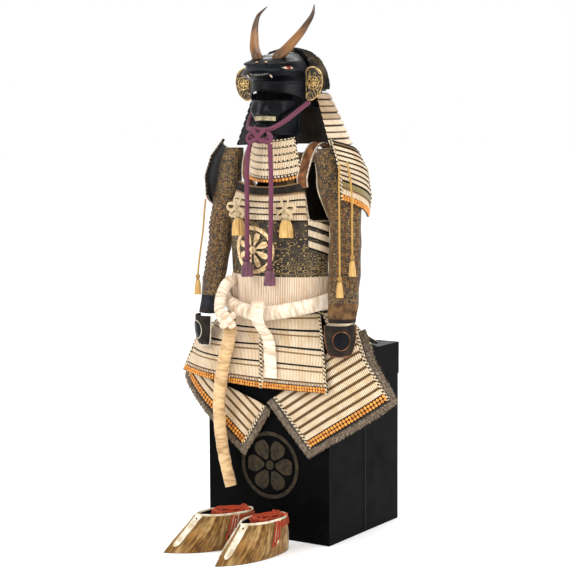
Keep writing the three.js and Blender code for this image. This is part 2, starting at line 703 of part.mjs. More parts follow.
function addThighGuards() {
  for (const guard of THIGH_GUARDS) {
    // Columns run towards the wearer's left, so on the right they start at the outer side.
    const across = guard.side > 0 ? spread(0, guard.width, 9) : spread(-guard.width, 0, 9);
    const heightAt = (u) => lerp(guard.inner.height, guard.outer.height, Math.abs(u) / guard.width);
    const tall = Math.max(guard.inner.height, guard.outer.height);
    const panel = (u, v) => thighPoint(guard, Math.abs(u), Math.min(v * tall, heightAt(u)));
    const rows = lacedRows(0, 1, Math.round(tall / THIGH.row), 2).map((row) => ({
      ...row,
      outer: (u, v) => (v * tall < heightAt(u) ? row.outer : 0),
    }));
    add(`thigh_guard_${guard.name}`, shell(panel, across, rows), 'lacing');

    // The fur runs down the inner side, along the bottom row and up the outer side.
    const gap = 7 * SEAM;
    const [edge, far] = [guard.width + gap, guard.width + THIGH.trim];
    const track = [
      { in: [-gap, guard.inner.height], out: [-THIGH.trim, guard.inner.height] },
      { in: [-gap, -gap], out: [-THIGH.trim, -THIGH.trim] },
      { in: [edge, -gap], out: [far, -THIGH.trim] },
      { in: [edge, guard.outer.height], out: [far, guard.outer.height] },
    ];
    const between = (u, key, axis) => {
      const leg = clamp(Math.floor(u), 0, 2);
      return lerp(track[leg][key][axis], track[leg + 1][key][axis], u - leg);
    };
    const trim = (u, v) => thighPoint(
      guard,
      lerp(between(Math.abs(u), 'out', 0), between(Math.abs(u), 'in', 0), v),
      lerp(between(Math.abs(u), 'out', 1), between(Math.abs(u), 'in', 1), v),
    );
    const stations = [...spread(0, 1, 3), ...spread(1, 2, 8).slice(1), ...spread(2, 3, 3).slice(1)];
    const order = guard.side > 0 ? stations : stations.map((u) => -u).reverse();
    add(`fur_trim_${guard.name}`, shell(trim, order, plainRows([0, 0.5, 1], 2.5, -2.5)), 'fur');
  }
}

// ---- Sleeves, hand guards and shoulder guards ----

/** A point round an arm, given as if it were the left one; angle 0 faces outwards to the front. */
function armPoint(x, at, angle, z, wide, deep) {
  const [turn, face] = [degToRad(angle), degToRad(ARM_TURN)];
  const [across, out] = [wide * Math.sin(turn), deep * Math.cos(turn)];
  return new THREE.Vector3(
    x + across * Math.cos(face) + out * Math.sin(face),
    at.y + across * Math.sin(face) - out * Math.cos(face),
    z,
  );
}

function addArms() {
  const heights = [...ARM].reverse().map((row) => row.z);
  for (const side of ['left', 'right']) {
    const turned = side === 'left' ? (geometry) => geometry : mirrored;
    const sleevePoint = (angle, z) => {
      const at = sample(ARM, 'z', z);
      return armPoint(at[side], at, angle, z, at.wide, at.deep);
    };
    // Each sleeve is laced up from an outer and an inner half.
    const halves = { outer: spread(-89.4, 89.4, 8), inner: spread(90.6, 269.4, 8) };
    for (const [half, around] of Object.entries(halves)) {
      const wall = shell(sleevePoint, around, plainRows(heights, 0, -2.5));
      add(`sleeve_${side}_${half}`, turned(wall), 'brocade');
    }

    // The hand guard covers the back of the hand and narrows to a rounded end.
    const handPoint = (angle, v) => {
      const round = Math.sqrt(1 - 0.62 * (1 - v) ** 3);
      return armPoint(
        HAND[side], HAND, angle, lerp(HAND.bottom, HAND.top, v), HAND.wide * round, HAND.deep * round,
      );
    };
    const plate = plainRows([0, 0.12, 0.35, 0.7, 1], 0, -2.5);
    add(`hand_guard_${side}`, turned(shell(handPoint, spread(-88, 88, 10), plate)), 'leather');
  }

  // The shoulder guard: a curved plate of rows that slope down to the back, its front edge
  // and back edge given from the hem at 0 to the top at 1.
  const front = [
    { v: 0, x: 220, y: -170, z: 950 }, { v: 0.35, x: 220, y: -176, z: 1005 },
    { v: 0.7, x: 203, y: -170, z: 1060 }, { v: 1, x: 174, y: -150, z: 1108 },
  ];
  const back = [
    { v: 0, x: 229, y: -44, z: 896 }, { v: 0.35, x: 238, y: -44, z: 952 },
    { v: 0.7, x: 228, y: -46, z: 1022 }, { v: 1, x: 202, y: -52, z: 1074 },
  ];
  const guardPoint = (u, v) => {
    const from = sample(front, 'v', v);
    const to = sample(back, 'v', v);
    const bulge = 22 * Math.sin(Math.PI * clamp(u, 0, 1));
    return new THREE.Vector3(lerp(from.x, to.x, u) + bulge, lerp(from.y, to.y, u), lerp(from.z, to.z, u));
  };
  addPair('shoulder_guard', shell(guardPoint, spread(0, 1, 8), lacedRows(0, 1, 7)), 'lacing');
}

// ---- Cords and tassels ----

// Free cords: their points from the top down, with the tassel that each one ends in.
const CHIN_END = { diameter: 13, tasselLength: 60, tasselRadius: 17 };
const GUARD_CORD = { diameter: 5, tasselLength: 60, tasselRadius: 10 };
const FREE_CORDS = [
  {
    name: 'chin_cord_end_left', finish: 'purple', ...CHIN_END,
    points: [[43, -246, 1098], [46, -248, 1060], [47, -247, 1000], [45, -246, 900], [40, -246, 773]],
  },
  {
    name: 'chin_cord_end_right', finish: 'purple', ...CHIN_END,
    points: [[-21, -246, 1098], [-29, -248, 1060], [-32, -247, 1000], [-33, -246, 900], [-34, -246, 794]],
  },
  {
    name: 'guard_cord_left_front', finish: 'yellow', ...GUARD_CORD,
    points: [[225, -184, 1046], [226, -189, 1010], [228, -192, 950], [233, -199, 850], [239, -208, 748]],
  },
  {
    name: 'guard_cord_left_back', finish: 'yellow', ...GUARD_CORD,
    points: [[237, -166, 1050], [247, -165, 1000], [252, -166, 950], [256, -172, 880], [261, -179, 804]],
  },
  {
    name: 'guard_cord_right', finish: 'yellow', ...GUARD_CORD,
    points: [[-221, -178, 940], [-222, -184, 900], [-223, -190, 850], [-227, -199, 790], [-230, -207, 730]],
  },
];

/** The chin cord from both sides of the helmet to the ring knot under the chin. */
function addChinCord() {
  add('chin_cord_band', cord([
    [96, -132, 1210], [86, -164, 1190], [68, -200, 1163], [46, -228, 1143], [28, -238, 1136],
    [10, -240, 1136], [-10, -238, 1138], [-32, -228, 1138], [-56, -202, 1141], [-76, -168, 1160],
    [-84, -134, 1188],
  ], 13, 8, 26), 'purple');
  // The knot's lower loop, a half ring that hangs just under the band.
  const ring = spread(14, 166, 8).map((angle) => [
    11 + 30 * Math.cos(degToRad(angle)), -244, 1124 - 19 * Math.sin(degToRad(angle)),
  ]);
  add('chin_cord_knot', cord(ring, 13, 8, 10), 'purple');
}

/** A flat bow of cords with a tassel under it, tied to the breast. */
function breastTassel(x, y) {
  const outline = new THREE.Shape();
  outline.moveTo(-30, 8);
  outline.quadraticCurveTo(-34, -6, -8, -8);
  outline.lineTo(-4, -22);
  outline.lineTo(4, -22);
  outline.lineTo(8, -8);
  outline.quadraticCurveTo(34, -6, 30, 8);
  outline.quadraticCurveTo(14, 10, 12, 22);
  outline.quadraticCurveTo(0, 32, -12, 22);
  outline.quadraticCurveTo(-14, 10, -30, 8);
  const bow = new THREE.ExtrudeGeometry(outline, { depth: 8, bevelEnabled: false, curveSegments: 4 });
  bow.rotateX(Math.PI / 2).translate(x, y, 930);
  const hanging = tassel(0, 0, 0, 68, 20).scale(1, 0.45, 1).translate(x + 2, y - 5, 912);
  return fromSolid(toSolid(bow).add(toSolid(hanging)));
}

function addCords() {
  addChinCord();
  for (const row of FREE_CORDS) {
    const steps = 12;
    add(row.name, cord(row.points, row.diameter, 8, steps), row.finish);
    const [x, y, z] = row.points.at(-1);
    add(`${row.name}_tassel`, tassel(x, y, z - SEAM, row.tasselLength, row.tasselRadius), row.finish);
  }
  add('breast_tassel_left', breastTassel(78, -220), 'yellow');
  add('breast_tassel_right', breastTassel(-78, -220), 'yellow');
}

// ---- Fur boots ----

const BOOT = { length: 272, halfWidth: 50, height: 94, opening: 176, sole: 4, wall: 4 };
const BOOTS = [
  { name: 'left', heel: [100, -252], toe: [52, -514] },
  { name: 'right', heel: [-6, -250], toe: [-150, -486] },
];

/** A boot: a sole pointed at the toe, with walls drawn in to a low opening over the heel. */
function bootGeometry(row) {
  const heel = new THREE.Vector2(...row.heel);
  const ahead = new THREE.Vector2(...row.toe).sub(heel).normalize();
  const aside = new THREE.Vector2(-ahead.y, ahead.x);
  const ringPoint = (angle, from, to, halfWidth, z) => {
    const turn = degToRad(angle);
    // Cosine runs from the heel at -1 to the toe at 1; the toe half narrows to a point.
    const along = Math.cos(turn);
    const narrow = along > 0 ? Math.max(0, 1 - along ** 2.4) ** 0.95 : Math.sqrt(1 - along ** 2);
    const run = lerp(from, to, (along + 1) / 2);
    const out = halfWidth * narrow * Math.sign(Math.sin(turn));
    const place = heel.clone().addScaledVector(ahead, run).addScaledVector(aside, out);
    return new THREE.Vector3(place.x, place.y, z);
  };
  const point = (angle, v) => {
    if (v <= 1) {
      return ringPoint(angle, lerp(110, 0, v), lerp(110, BOOT.length, v), BOOT.halfWidth * v, 0);
    }
    const t = v - 1;
    const swell = 1 + 0.1 * Math.sin(Math.PI * t);
    return ringPoint(
      angle, lerp(0, 8, t), lerp(BOOT.length, BOOT.opening, t), lerp(BOOT.halfWidth, 39, t) * swell, BOOT.height * t,
    );
  };
  const angles = spread(0, 360, 18).slice(0, 18);
  const outer = [0, 1, 1.35, 1.7, 2].map((v) => angles.map((angle) => point(angle, v)));
  const inner = [0, 1, 1.35, 1.7, 2].map((v) => angles.map((angle) => {
    const middle = point(angle, 0);
    const on = point(angle, v);
    const inwards = new THREE.Vector3(middle.x - on.x, middle.y - on.y, 0);
    const room = inwards.length();
    on.addScaledVector(inwards.normalize(), Math.min(BOOT.wall, room * 0.2));
    on.z = v <= 1 ? BOOT.sole : on.z;
    return on;
  }));
  return wallBetween(outer, inner, true);
}

addChest();
addStand();
addHelmet();
addMask();
addThroatGuard();
addCuirass();
addTassets();
addSash();
addThighGuards();
addArms();
addCords();
for (const row of BOOTS) {
  add(`boot_${row.name}`, bootGeometry(row), 'bearFur', set);
}

export default set;
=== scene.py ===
"""A samurai armour set out on its lacquered storage chest.

Lengths in the tables are millimetres and angles are degrees. The armour faces -Y and the
wearer's left is +X. On an oval round the body, angle 0 is the front and 90 the wearer's left.
"""

import math
import random

import bpy
from mathutils import Matrix, Vector, noise


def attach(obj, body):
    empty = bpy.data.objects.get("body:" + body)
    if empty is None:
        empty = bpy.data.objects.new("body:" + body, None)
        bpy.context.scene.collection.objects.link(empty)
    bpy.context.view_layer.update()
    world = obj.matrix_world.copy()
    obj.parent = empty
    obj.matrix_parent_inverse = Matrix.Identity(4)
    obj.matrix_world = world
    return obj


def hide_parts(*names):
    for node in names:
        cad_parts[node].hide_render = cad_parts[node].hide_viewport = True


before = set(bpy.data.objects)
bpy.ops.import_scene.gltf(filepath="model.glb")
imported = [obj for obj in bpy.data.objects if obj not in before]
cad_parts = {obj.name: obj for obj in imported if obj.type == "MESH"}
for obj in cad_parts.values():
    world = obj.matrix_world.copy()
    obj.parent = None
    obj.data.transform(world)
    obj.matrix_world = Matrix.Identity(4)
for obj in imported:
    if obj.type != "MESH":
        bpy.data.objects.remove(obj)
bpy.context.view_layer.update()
random.seed(11)
scene = bpy.context.scene

BODY_X = 7  # the armour stands a little to its left of the chest's middle


# ---- Small tools ----


def lerp(a, b, t):
    """The value a share of the way from a to b."""
    return a + (b - a) * t


def clamp(x, low=0.0, high=1.0):
    """A value held between two limits."""
    return max(low, min(high, x))


def spread(first, last, count):
    """count + 1 even steps from first to last."""
    return [lerp(first, last, i / count) for i in range(count + 1)]


def hump(distance, reach):
    """A smooth bump: 1 at no distance, near 0 past the reach."""
    return math.exp(-((distance / reach) ** 2))


def smooth(t):
    """An eased step from 0 to 1."""
    t = clamp(t)
    return t * t * (3 - 2 * t)


def wobble(x, y=0.0, z=0.0):
    """Gentle unevenness between about -1 and 1."""
    return noise.noise(Vector((x, y, z)))


def table_at(table, key, value):
    """A row of the table between its neighbours, at one value of its key column."""
    rows = sorted(table, key=lambda row: row[key])
    at = clamp(value, rows[0][key], rows[-1][key])
    for low, high in zip(rows, rows[1:]):
        if at <= high[key]:
            t = (at - low[key]) / (high[key] - low[key])
            return {name: lerp(low[name], high[name], t) for name in low}
    return rows[-1]


def route(points, count):
    """A smooth line through the points, at count + 1 evenly spaced places."""
    knots = [Vector(p) for p in points]
    ends = [2 * knots[0] - knots[1], *knots, 2 * knots[-1] - knots[-2]]
    fine = []
    for a, b, c, d in zip(ends, ends[1:], ends[2:], ends[3:]):
        for i in range(24):
            t = i / 24
            fine.append(0.5 * (2 * b + (c - a) * t + (2 * a - 5 * b + 4 * c - d) * t * t
                               + (3 * b - a - 3 * c + d) * t ** 3))
    fine.append(knots[-1])
    lengths = [0.0]
    for p, q in zip(fine, fine[1:]):
        lengths.append(lengths[-1] + (q - p).length)
    line = []
    k = 0
    for target in spread(0, lengths[-1], count):
        while k < len(fine) - 2 and lengths[k + 1] < target:
            k += 1
        part = (target - lengths[k]) / max(1e-9, lengths[k + 1] - lengths[k])
        line.append(fine[k].lerp(fine[k + 1], clamp(part)))
    return line


def oval(angle, half_width, half_depth, middle_y, z):
    """A point on an oval round the body, at one height."""
    turn = math.radians(angle)
    return Vector((BODY_X + half_width * math.sin(turn), middle_y - half_depth * math.cos(turn), z))


class Piece:
    """Collects the points, faces, finishes and flat coordinates of one piece, in millimetres."""

    def __init__(self, name, *finishes):
        self.name = name
        self.finishes = list(finishes)
        self.points = []
        self.faces = []
        self.flat = []
        self.kinds = []

    def finish_of(self, finish):
        if isinstance(finish, int):
            return finish
        if finish not in self.finishes:
            self.finishes.append(finish)
        return self.finishes.index(finish)

    def face(self, corners, flat, finish):
        self.faces.append(corners)
        self.flat.extend(flat)
        self.kinds.append(self.finish_of(finish))

    def grid(self, rows, flat, finish, closed=False, turned=False):
        """Faces over rows of points. flat holds their flat coordinates. finish is one finish, or
        one for each strip between two rows."""
        start = len(self.points)
        wide = len(rows[0])
        for row in rows:
            self.points.extend(row)
        for i in range(len(rows) - 1):
            kind = finish[i] if isinstance(finish, list) else finish
            for j in range(wide if closed else wide - 1):
                k = (j + 1) % wide
                corners = [(i, j), (i, k), (i + 1, k), (i + 1, j)]
                places = [(i, j), (i, j + 1), (i + 1, j + 1), (i + 1, j)]
                if turned:
                    corners.reverse()
                    places.reverse()
                self.face([start + a * wide + b for a, b in corners],
                          [flat[a][b] for a, b in places], kind)
        return self

    def wall(self, point, columns, rows, backing, width, height, closed=False):
        """A wall on point(u, v). rows hold (v, outer, inner, finish of the strip above)."""
        du = (columns[-1] - columns[0]) * 1e-3
        dv = (rows[-1][0] - rows[0][0]) * 1e-3
        faces = {1: [], 2: []}
        for row in rows:
            for side in (1, 2):
                line = []
                for u in columns:
                    out = row[side](u, row[0]) if callable(row[side]) else row[side]
                    line.append(point(u, row[0]) + out * normal_at(point, u, row[0], du, dv))
                faces[side].append(line)
        spans = columns + [columns[0]] if closed else columns
        flat = [[(width * k / (len(spans) - 1), height * row[0]) for k in range(len(spans))] for row in rows]
        self.grid(faces[1], flat, [row[3] for row in rows], closed)
        self.grid(faces[2], flat, backing, closed, turned=True)
        edges = [(faces[1][0], faces[2][0], True), (faces[1][-1], faces[2][-1], False)]
        for outer, inner, turned in edges:
            self.grid([outer, inner], [[(p[0], 0) for p in flat[0]], [(p[0], 3) for p in flat[0]]],
                      backing, closed, turned)
        if not closed:
            for j, turned in ((0, False), (-1, True)):
                self.grid([[r[j] for r in faces[1]], [r[j] for r in faces[2]]],
                          [[(r[j][1], 0) for r in flat], [(r[j][1], 3) for r in flat]],
                          backing, False, turned)
        return self

    def roll(self, line, across, along, finish, sides=12, aside=None, ends=True):
        """An oval roll along a line of points. across and along are its half sizes, as numbers
        or as functions of the part of the way."""
        rings, flat = [], []
        gone = 0.0
        side = None
        for i, centre in enumerate(line):
            t = i / (len(line) - 1)
            tangent = (line[min(i + 1, len(line) - 1)] - line[max(i - 1, 0)]).normalized()
            guide = Vector(aside) if aside else (side or tangent.orthogonal())
            side = (guide - tangent * guide.dot(tangent)).normalized()
            lift = tangent.cross(side)
            a = across(t) if callable(across) else across
            b = along(t) if callable(along) else along
            if i:
                gone += (centre - line[i - 1]).length
            ring = []
            for k in range(sides):
                turn = math.tau * k / sides
                ring.append(centre + side * (a * math.cos(turn)) + lift * (b * math.sin(turn)))
            rings.append(ring)
            girth = math.pi * (a + b)
            flat.append([(girth * k / sides, gone) for k in range(sides + 1)])
        self.grid(rings, flat, finish, closed=True)
        if ends:
            for ring, place, turned in ((rings[0], flat[0], True), (rings[-1], flat[-1], False)):
                start = len(self.points)
                self.points.extend(ring)
                corners = list(range(start, start + sides))
                if turned:
                    corners.reverse()
                self.face(corners, [place[0]] * sides, finish)
        return self

    def ball(self, middle, radii, finish, sides=8, rings=5, turn=None):
        """A rounded bead; radii are its three half sizes."""
        rows = []
        for i in range(rings + 1):
            tilt = math.pi * i / rings - math.pi / 2
            row = []
            for k in range(sides):
                around = math.tau * k / sides
                p = Vector((radii[0] * math.cos(tilt) * math.cos(around),
                            radii[1] * math.cos(tilt) * math.sin(around), radii[2] * math.sin(tilt)))
                row.append(Vector(middle) + (turn @ p if turn else p))
            rows.append(row)
        flat = [[(radii[0] * k, radii[2] * i) for k in range(sides + 1)] for i in range(rings + 1)]
        return self.grid(rows, flat, finish, closed=True)

    def build(self, replaces=(), slot=None, sharp=40, soften=0):
        mesh = bpy.data.meshes.new(self.name)
        mesh.from_pydata([p * 0.001 for p in self.points], [], self.faces)
        layer = mesh.uv_layers.new(name="cloth")
        for corner, place in zip(layer.data, self.flat):
            corner.uv = place
        for face, kind in zip(mesh.polygons, self.kinds):
            face.material_index = kind
            face.use_smooth = True
        for finish in self.finishes:
            mesh.materials.append(finish)
        mesh.set_sharp_from_angle(angle=math.radians(sharp))
        made = bpy.data.objects.new(self.name, mesh)
        scene.collection.objects.link(made)
        if soften:
            layers = made.modifiers.new("soften", "SUBSURF")
            layers.levels = layers.render_levels = soften
        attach(made, "root")
        if replaces:
            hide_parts(*([replaces] if isinstance(replaces, str) else replaces))
        return made


def normal_at(point, u, v, du, dv):
    """The outward normal of a surface point(u, v)."""
    across = point(u + du, v) - point(u - du, v)
    along = point(u, v + dv) - point(u, v - dv)
    normal = across.cross(along)
    return normal.normalized() if normal.length > 1e-9 else Vector((0, 0, 1))


def raised(point, u, v, lift, du, dv):
    """A point over a surface, at a distance along its outward normal."""
    return point(u, v) + normal_at(point, u, v, du, dv) * lift


# ---- Camera, floor and light ----


def set_up_view():
    """The camera, the floor, the lamps and the pale room."""
    camera = bpy.data.objects.new("camera", bpy.data.cameras.new("camera"))
    scene.collection.objects.link(camera)
    scene.camera = camera
    camera.data.lens = 105.2
    camera.data.sensor_width = 36
    camera.data.clip_end = 40
    camera.rotation_mode = "QUATERNION"
    camera.location = (2.544, -3.982, 1.209)
    turn = Matrix.Rotation(math.radians(33.23), 3, "Z") @ Matrix.Rotation(math.radians(83.75), 3, "X")
    camera.rotation_quaternion = (turn @ Matrix.Rotation(math.radians(-0.31), 3, "Z")).to_quaternion()

    mesh = bpy.data.meshes.new("floor")
    mesh.from_pydata([(-30, -30, -0.001), (30, -30, -0.001), (30, 30, -0.001), (-30, 30, -0.001)],
                     [], [(0, 1, 2, 3)])
    floor = bpy.data.objects.new("floor", mesh)
    scene.collection.objects.link(floor)
    mesh.materials.append(plain_paper())

    # A large key from the front left, a wide fill from the right and a light from above.
    lights = [
        ("key", (-2.2, -4.2, 3.6), 2.4, 120),
        ("fill", (3.8, -1.6, 2.2), 2.6, 75),
        ("top", (0.3, 0.6, 4.2), 2.6, 60),
        ("back", (-1.5, 3.5, 2.6), 2.4, 50),
    ]
    for name, place, width, power in lights:
        data = bpy.data.lights.new(name, "AREA")
        data.size = width
        data.energy = power
        lamp = bpy.data.objects.new(name, data)
        scene.collection.objects.link(lamp)
        lamp.location = place
        lamp.rotation_mode = "QUATERNION"
        lamp.rotation_quaternion = (Vector((0, -0.1, 0.7)) - Vector(place)).to_track_quat("-Z", "Y")
    world = bpy.data.worlds.new("studio")
    world.use_nodes = True
    world.node_tree.nodes["Background"].inputs["Color"].default_value = (1, 1, 1, 1)
    world.node_tree.nodes["Background"].inputs["Strength"].default_value = 1.0
    scene.world = world
    scene.view_settings.view_transform = "Standard"


# ---- Materials ----


def srgb(code, alpha=1.0):
    """A linear colour from an sRGB hex code."""
    parts = [int(code[i:i + 2], 16) / 255 for i in (1, 3, 5)]
    return (*[c / 12.92 if c <= 0.04045 else ((c + 0.055) / 1.055) ** 2.4 for c in parts], alpha)


def add_node(material, kind, inputs=None, **settings):
    """A shader node with its settings; an input is a value or another node's output."""
    made = material.node_tree.nodes.new("ShaderNode" + kind)
    for name, value in settings.items():
        setattr(made, name, value)
    for name, value in (inputs or {}).items():
        if isinstance(value, bpy.types.NodeSocket):
            material.node_tree.links.new(value, made.inputs[name])
        else:
            made.inputs[name].default_value = value
    return made


def material_named(name, roughness, metallic=0.0, ior=1.5, sheen=0.0, coat=0.0, glint=0.5):
    """A new material with its main shader. glint is how much of its light a bare surface throws back."""
    material = bpy.data.materials.new(name)
    material.use_nodes = True
    shader = material.node_tree.nodes["Principled BSDF"]
    shader.inputs["Roughness"].default_value = roughness
    shader.inputs["Metallic"].default_value = metallic
    shader.inputs["IOR"].default_value = ior
    shader.inputs["Sheen Weight"].default_value = sheen
    shader.inputs["Sheen Roughness"].default_value = 0.4
    shader.inputs["Specular IOR Level"].default_value = glint
    shader.inputs["Coat Weight"].default_value = coat
    shader.inputs["Coat Roughness"].default_value = 0.12
    return material, shader


def connect(material, output, target):
    """Joins an output to an input."""
    material.node_tree.links.new(output, target)


def calc(material, operation, a, b=0.0, c=0.0):
    """One sum of values or outputs."""
    return add_node(material, "Math", {0: a, 1: b, 2: c}, operation=operation).outputs[0]


def blend_of(material, amount, first, second):
    """A colour between two; each is a hex code or an output."""
    colours = [srgb(c) if isinstance(c, str) else c for c in (first, second)]
    mixed = add_node(material, "Mix", {0: amount, 6: colours[0], 7: colours[1]}, data_type="RGBA")
    return mixed.outputs[2]


def over(material, low, high, value):
    """0 below low, 1 above high and smooth between."""
    mapped = add_node(material, "MapRange", {0: value, 1: low, 2: high}, interpolation_type="SMOOTHSTEP")
    return mapped.outputs[0]


def bumped(material, shader, height, depth, strength=1.0):
    """Relief from a height of 0 to 1 that stands for depth millimetres."""
    bump = add_node(material, "Bump", {"Strength": strength, "Distance": depth * 0.001, "Height": height})
    connect(material, bump.outputs[0], shader.inputs["Normal"])


def flat_place(material):
    """Across and along the piece, in millimetres, from its flat coordinates."""
    place = add_node(material, "UVMap", uv_map="cloth")
    parts = add_node(material, "SeparateXYZ", {0: place.outputs[0]})
    return place.outputs[0], parts.outputs[0], parts.outputs[1]


def space_place(material):
    """The place in the set, in millimetres."""
    place = add_node(material, "TexCoord")
    return add_node(material, "VectorMath", {0: place.outputs["Object"], "Scale": 1000.0},
                    operation="SCALE").outputs[0]


def stripes(material, value, pitch, offset=0.0):
    """Rounded ridges of one pitch: 0 in the grooves and 1 on the crests."""
    turned = calc(material, "MULTIPLY", calc(material, "ADD", value, offset), math.tau / pitch)
    return calc(material, "MULTIPLY_ADD", calc(material, "SINE", turned), 0.5, 0.5)


def cloudy(material, place, size, detail=3.0, stretch=None):
    """Soft patches of about one size in millimetres."""
    if stretch:
        place = add_node(material, "VectorMath", {0: place, 1: stretch}, operation="MULTIPLY").outputs[0]
    made = add_node(material, "TexNoise", {"Vector": place, "Scale": 1 / size, "Detail": detail})
    return made.outputs["Fac"]


def cells(material, place, size, feature="F1", randomness=1.0):
    """Cells of about one size: the distance from each middle, and a colour of its own."""
    made = add_node(material, "TexVoronoi", {"Vector": place, "Scale": 1 / size, "Randomness": randomness},
                    feature=feature)
    return made.outputs["Distance"]


def plain_paper():
    """A matt white paper sweep, faintly clouded."""
    material, shader = material_named("matt_white_paper", 0.9)
    place = space_place(material)
    connect(material, blend_of(material, cloudy(material, place, 90), "#f4f4f3", "#f8f8f8"),
            shader.inputs["Base Color"])
    shader.inputs["Emission Color"].default_value = (1, 1, 1, 1)
    shader.inputs["Emission Strength"].default_value = 0.16
    return material


def silk_lacing(name, crest, groove_shade, pitch=4.6, roughness=0.72, tired="#cdb08c"):
    """Flat braids laced side by side over scales: soft sheen, painted shade as a dark line between
    braids, and a faint cross grain where each braid is plaited."""
    material, shader = material_named(name, roughness, sheen=0.25)
    place, across, along = flat_place(material)
    braid = stripes(material, across, pitch)
    plait = stripes(material, along, 3.2)
    worn = over(material, 0.35, 0.75, cloudy(material, place, 38, stretch=(1, 0.4, 1)))
    silk = blend_of(material, worn, crest, tired)
    strand = over(material, 0.3, 0.75, cloudy(material, place, 5.5, stretch=(1, 0.12, 1)))
    silk = blend_of(material, calc(material, "MULTIPLY", strand, 0.4), silk, tired)
    # Painted shade: the groove colour darkens the low lines between the braids.
    line = over(material, 0.0, 0.42, braid)
    connect(material, blend_of(material, line, groove_shade, silk), shader.inputs["Base Color"])
    height = calc(material, "MULTIPLY_ADD", plait, 0.16, braid)
    bumped(material, shader, height, 1.6)
    return material


def braided_edge(name, light, dark, pitch=7.0):
    """A narrow braid of two colours plaited on the slant."""
    material, shader = material_named(name, 0.7, sheen=0.2)
    _, across, along = flat_place(material)
    slant = stripes(material, calc(material, "ADD", across, along), pitch)
    other = stripes(material, calc(material, "SUBTRACT", across, along), pitch * 1.13)
    plait = over(material, 0.35, 0.65,
                 calc(material, "MULTIPLY_ADD", slant, 0.6, calc(material, "MULTIPLY", other, 0.4)))
    connect(material, blend_of(material, plait, dark, light), shader.inputs["Base Color"])
    bumped(material, shader, plait, 1.2)
    return material


def urushi(name, black, haze, roughness=0.22, grain=0.25, glint=0.14):
    """Polished black lacquer: a deep coat with faint unevenness, dust haze and fine wear."""
    material, shader = material_named(name, roughness, ior=1.45, glint=glint)
    place = space_place(material)
    dull = over(material, 0.45, 0.8, cloudy(material, place, 55, 4))
    connect(material, blend_of(material, dull, black, haze), shader.inputs["Base Color"])
    connect(material, calc(material, "MULTIPLY_ADD", dull, 0.22, roughness), shader.inputs["Roughness"])
    bumped(material, shader, cloudy(material, place, 14), grain)
    return material


def printed_leather():
    """Smoked leather printed with gold scrolls round small flowers, lacquered dark between.
    Each cell of a net has its own spiral tendril, with a five-petalled flower at its heart."""
    material, shader = material_named("printed_gilt_leather", 0.42, coat=0.08, glint=0.3)
    place, across, along = flat_place(material)
    pitch = 21.0
    sheet = add_node(material, "CombineXYZ", {0: across, 1: along}).outputs[0]
    net = add_node(material, "TexVoronoi", {"Vector": sheet, "Scale": 1 / pitch, "Randomness": 0.55})
    scaled = add_node(material, "VectorMath", {0: sheet, "Scale": 1 / pitch}, operation="SCALE").outputs[0]
    local = add_node(material, "VectorMath", {0: scaled, 1: net.outputs["Position"]},
                     operation="SUBTRACT").outputs[0]
    parts = add_node(material, "SeparateXYZ", {0: local})
    turn = calc(material, "ARCTAN2", parts.outputs[1], parts.outputs[0])
    far = calc(material, "MULTIPLY", net.outputs["Distance"], pitch)
    swirl = calc(material, "SINE", calc(material, "MULTIPLY_ADD", far, 1.15, turn))
    tendril = over(material, 0.35, 0.7, swirl)
    leaf = calc(material, "SINE",
                calc(material, "MULTIPLY_ADD", turn, 6.0, calc(material, "MULTIPLY", far, 0.9)))
    tendril = calc(material, "MULTIPLY", tendril, over(material, -0.75, 0.0, leaf))
    petal = calc(material, "MULTIPLY_ADD",
                 calc(material, "COSINE", calc(material, "MULTIPLY", turn, 5.0)), 1.1, 3.6)
    flower = over(material, -0.4, 0.6, calc(material, "SUBTRACT", petal, far))
    heart = over(material, 0.0, 0.5, calc(material, "SUBTRACT", 1.2, far))
    gap = over(material, 4.4, 5.2, far)
    gold = calc(material, "MAXIMUM", calc(material, "MULTIPLY", tendril, gap),
                calc(material, "SUBTRACT", flower, heart))
    patchy = over(material, 0.28, 0.6, cloudy(material, place, 22))
    gold = calc(material, "MULTIPLY", gold, calc(material, "MULTIPLY_ADD", patchy, 0.6, 0.4))
    ground = blend_of(material, over(material, 0.4, 0.7, cloudy(material, place, 40)), "#1c150f", "#33271a")
    connect(material, blend_of(material, gold, ground, "#a98c58"), shader.inputs["Base Color"])
    bumped(material, shader, gold, 0.5)
    return material


def old_gold(name="worn_gilding", light="#d7b577", dark="#7d5f31", roughness=0.38):
    """Gilding on metal or lacquer, rubbed brown in the hollows."""
    material, shader = material_named(name, roughness, metallic=0.55)
    place = space_place(material)
    rubbed = over(material, 0.35, 0.7, cloudy(material, place, 9, 4))
    connect(material, blend_of(material, rubbed, light, dark), shader.inputs["Base Color"])
    bumped(material, shader, cloudy(material, place, 4), 0.25)
    return material


def mail_brocade():
    """Brown and gold figured silk with a net of fine dark mail over it."""
    material, shader = material_named("brocade_under_mail", 0.68, sheen=0.15)
    place = flat_place(material)[0]
    net = cells(material, place, 4.2, "DISTANCE_TO_EDGE", 0.25)
    figure = over(material, 0.45, 0.6, cloudy(material, place, 13, 2))
    silk = blend_of(material, figure, "#37230f", "#8d672c")
    spot = over(material, 0.5, 0.72, cloudy(material, place, 5, 1))
    silk = blend_of(material, spot, silk, "#c79c52")
    worn = over(material, 0.4, 0.75, cloudy(material, place, 60))
    silk = blend_of(material, calc(material, "MULTIPLY", worn, 0.5), silk, "#2c1f12")
    ring = over(material, 0.06, 0.2, net)
    connect(material, blend_of(material, ring, "#1d140c", silk), shader.inputs["Base Color"])
    bumped(material, shader, calc(material, "SUBTRACT", 1.0, ring), 0.9)
    return material


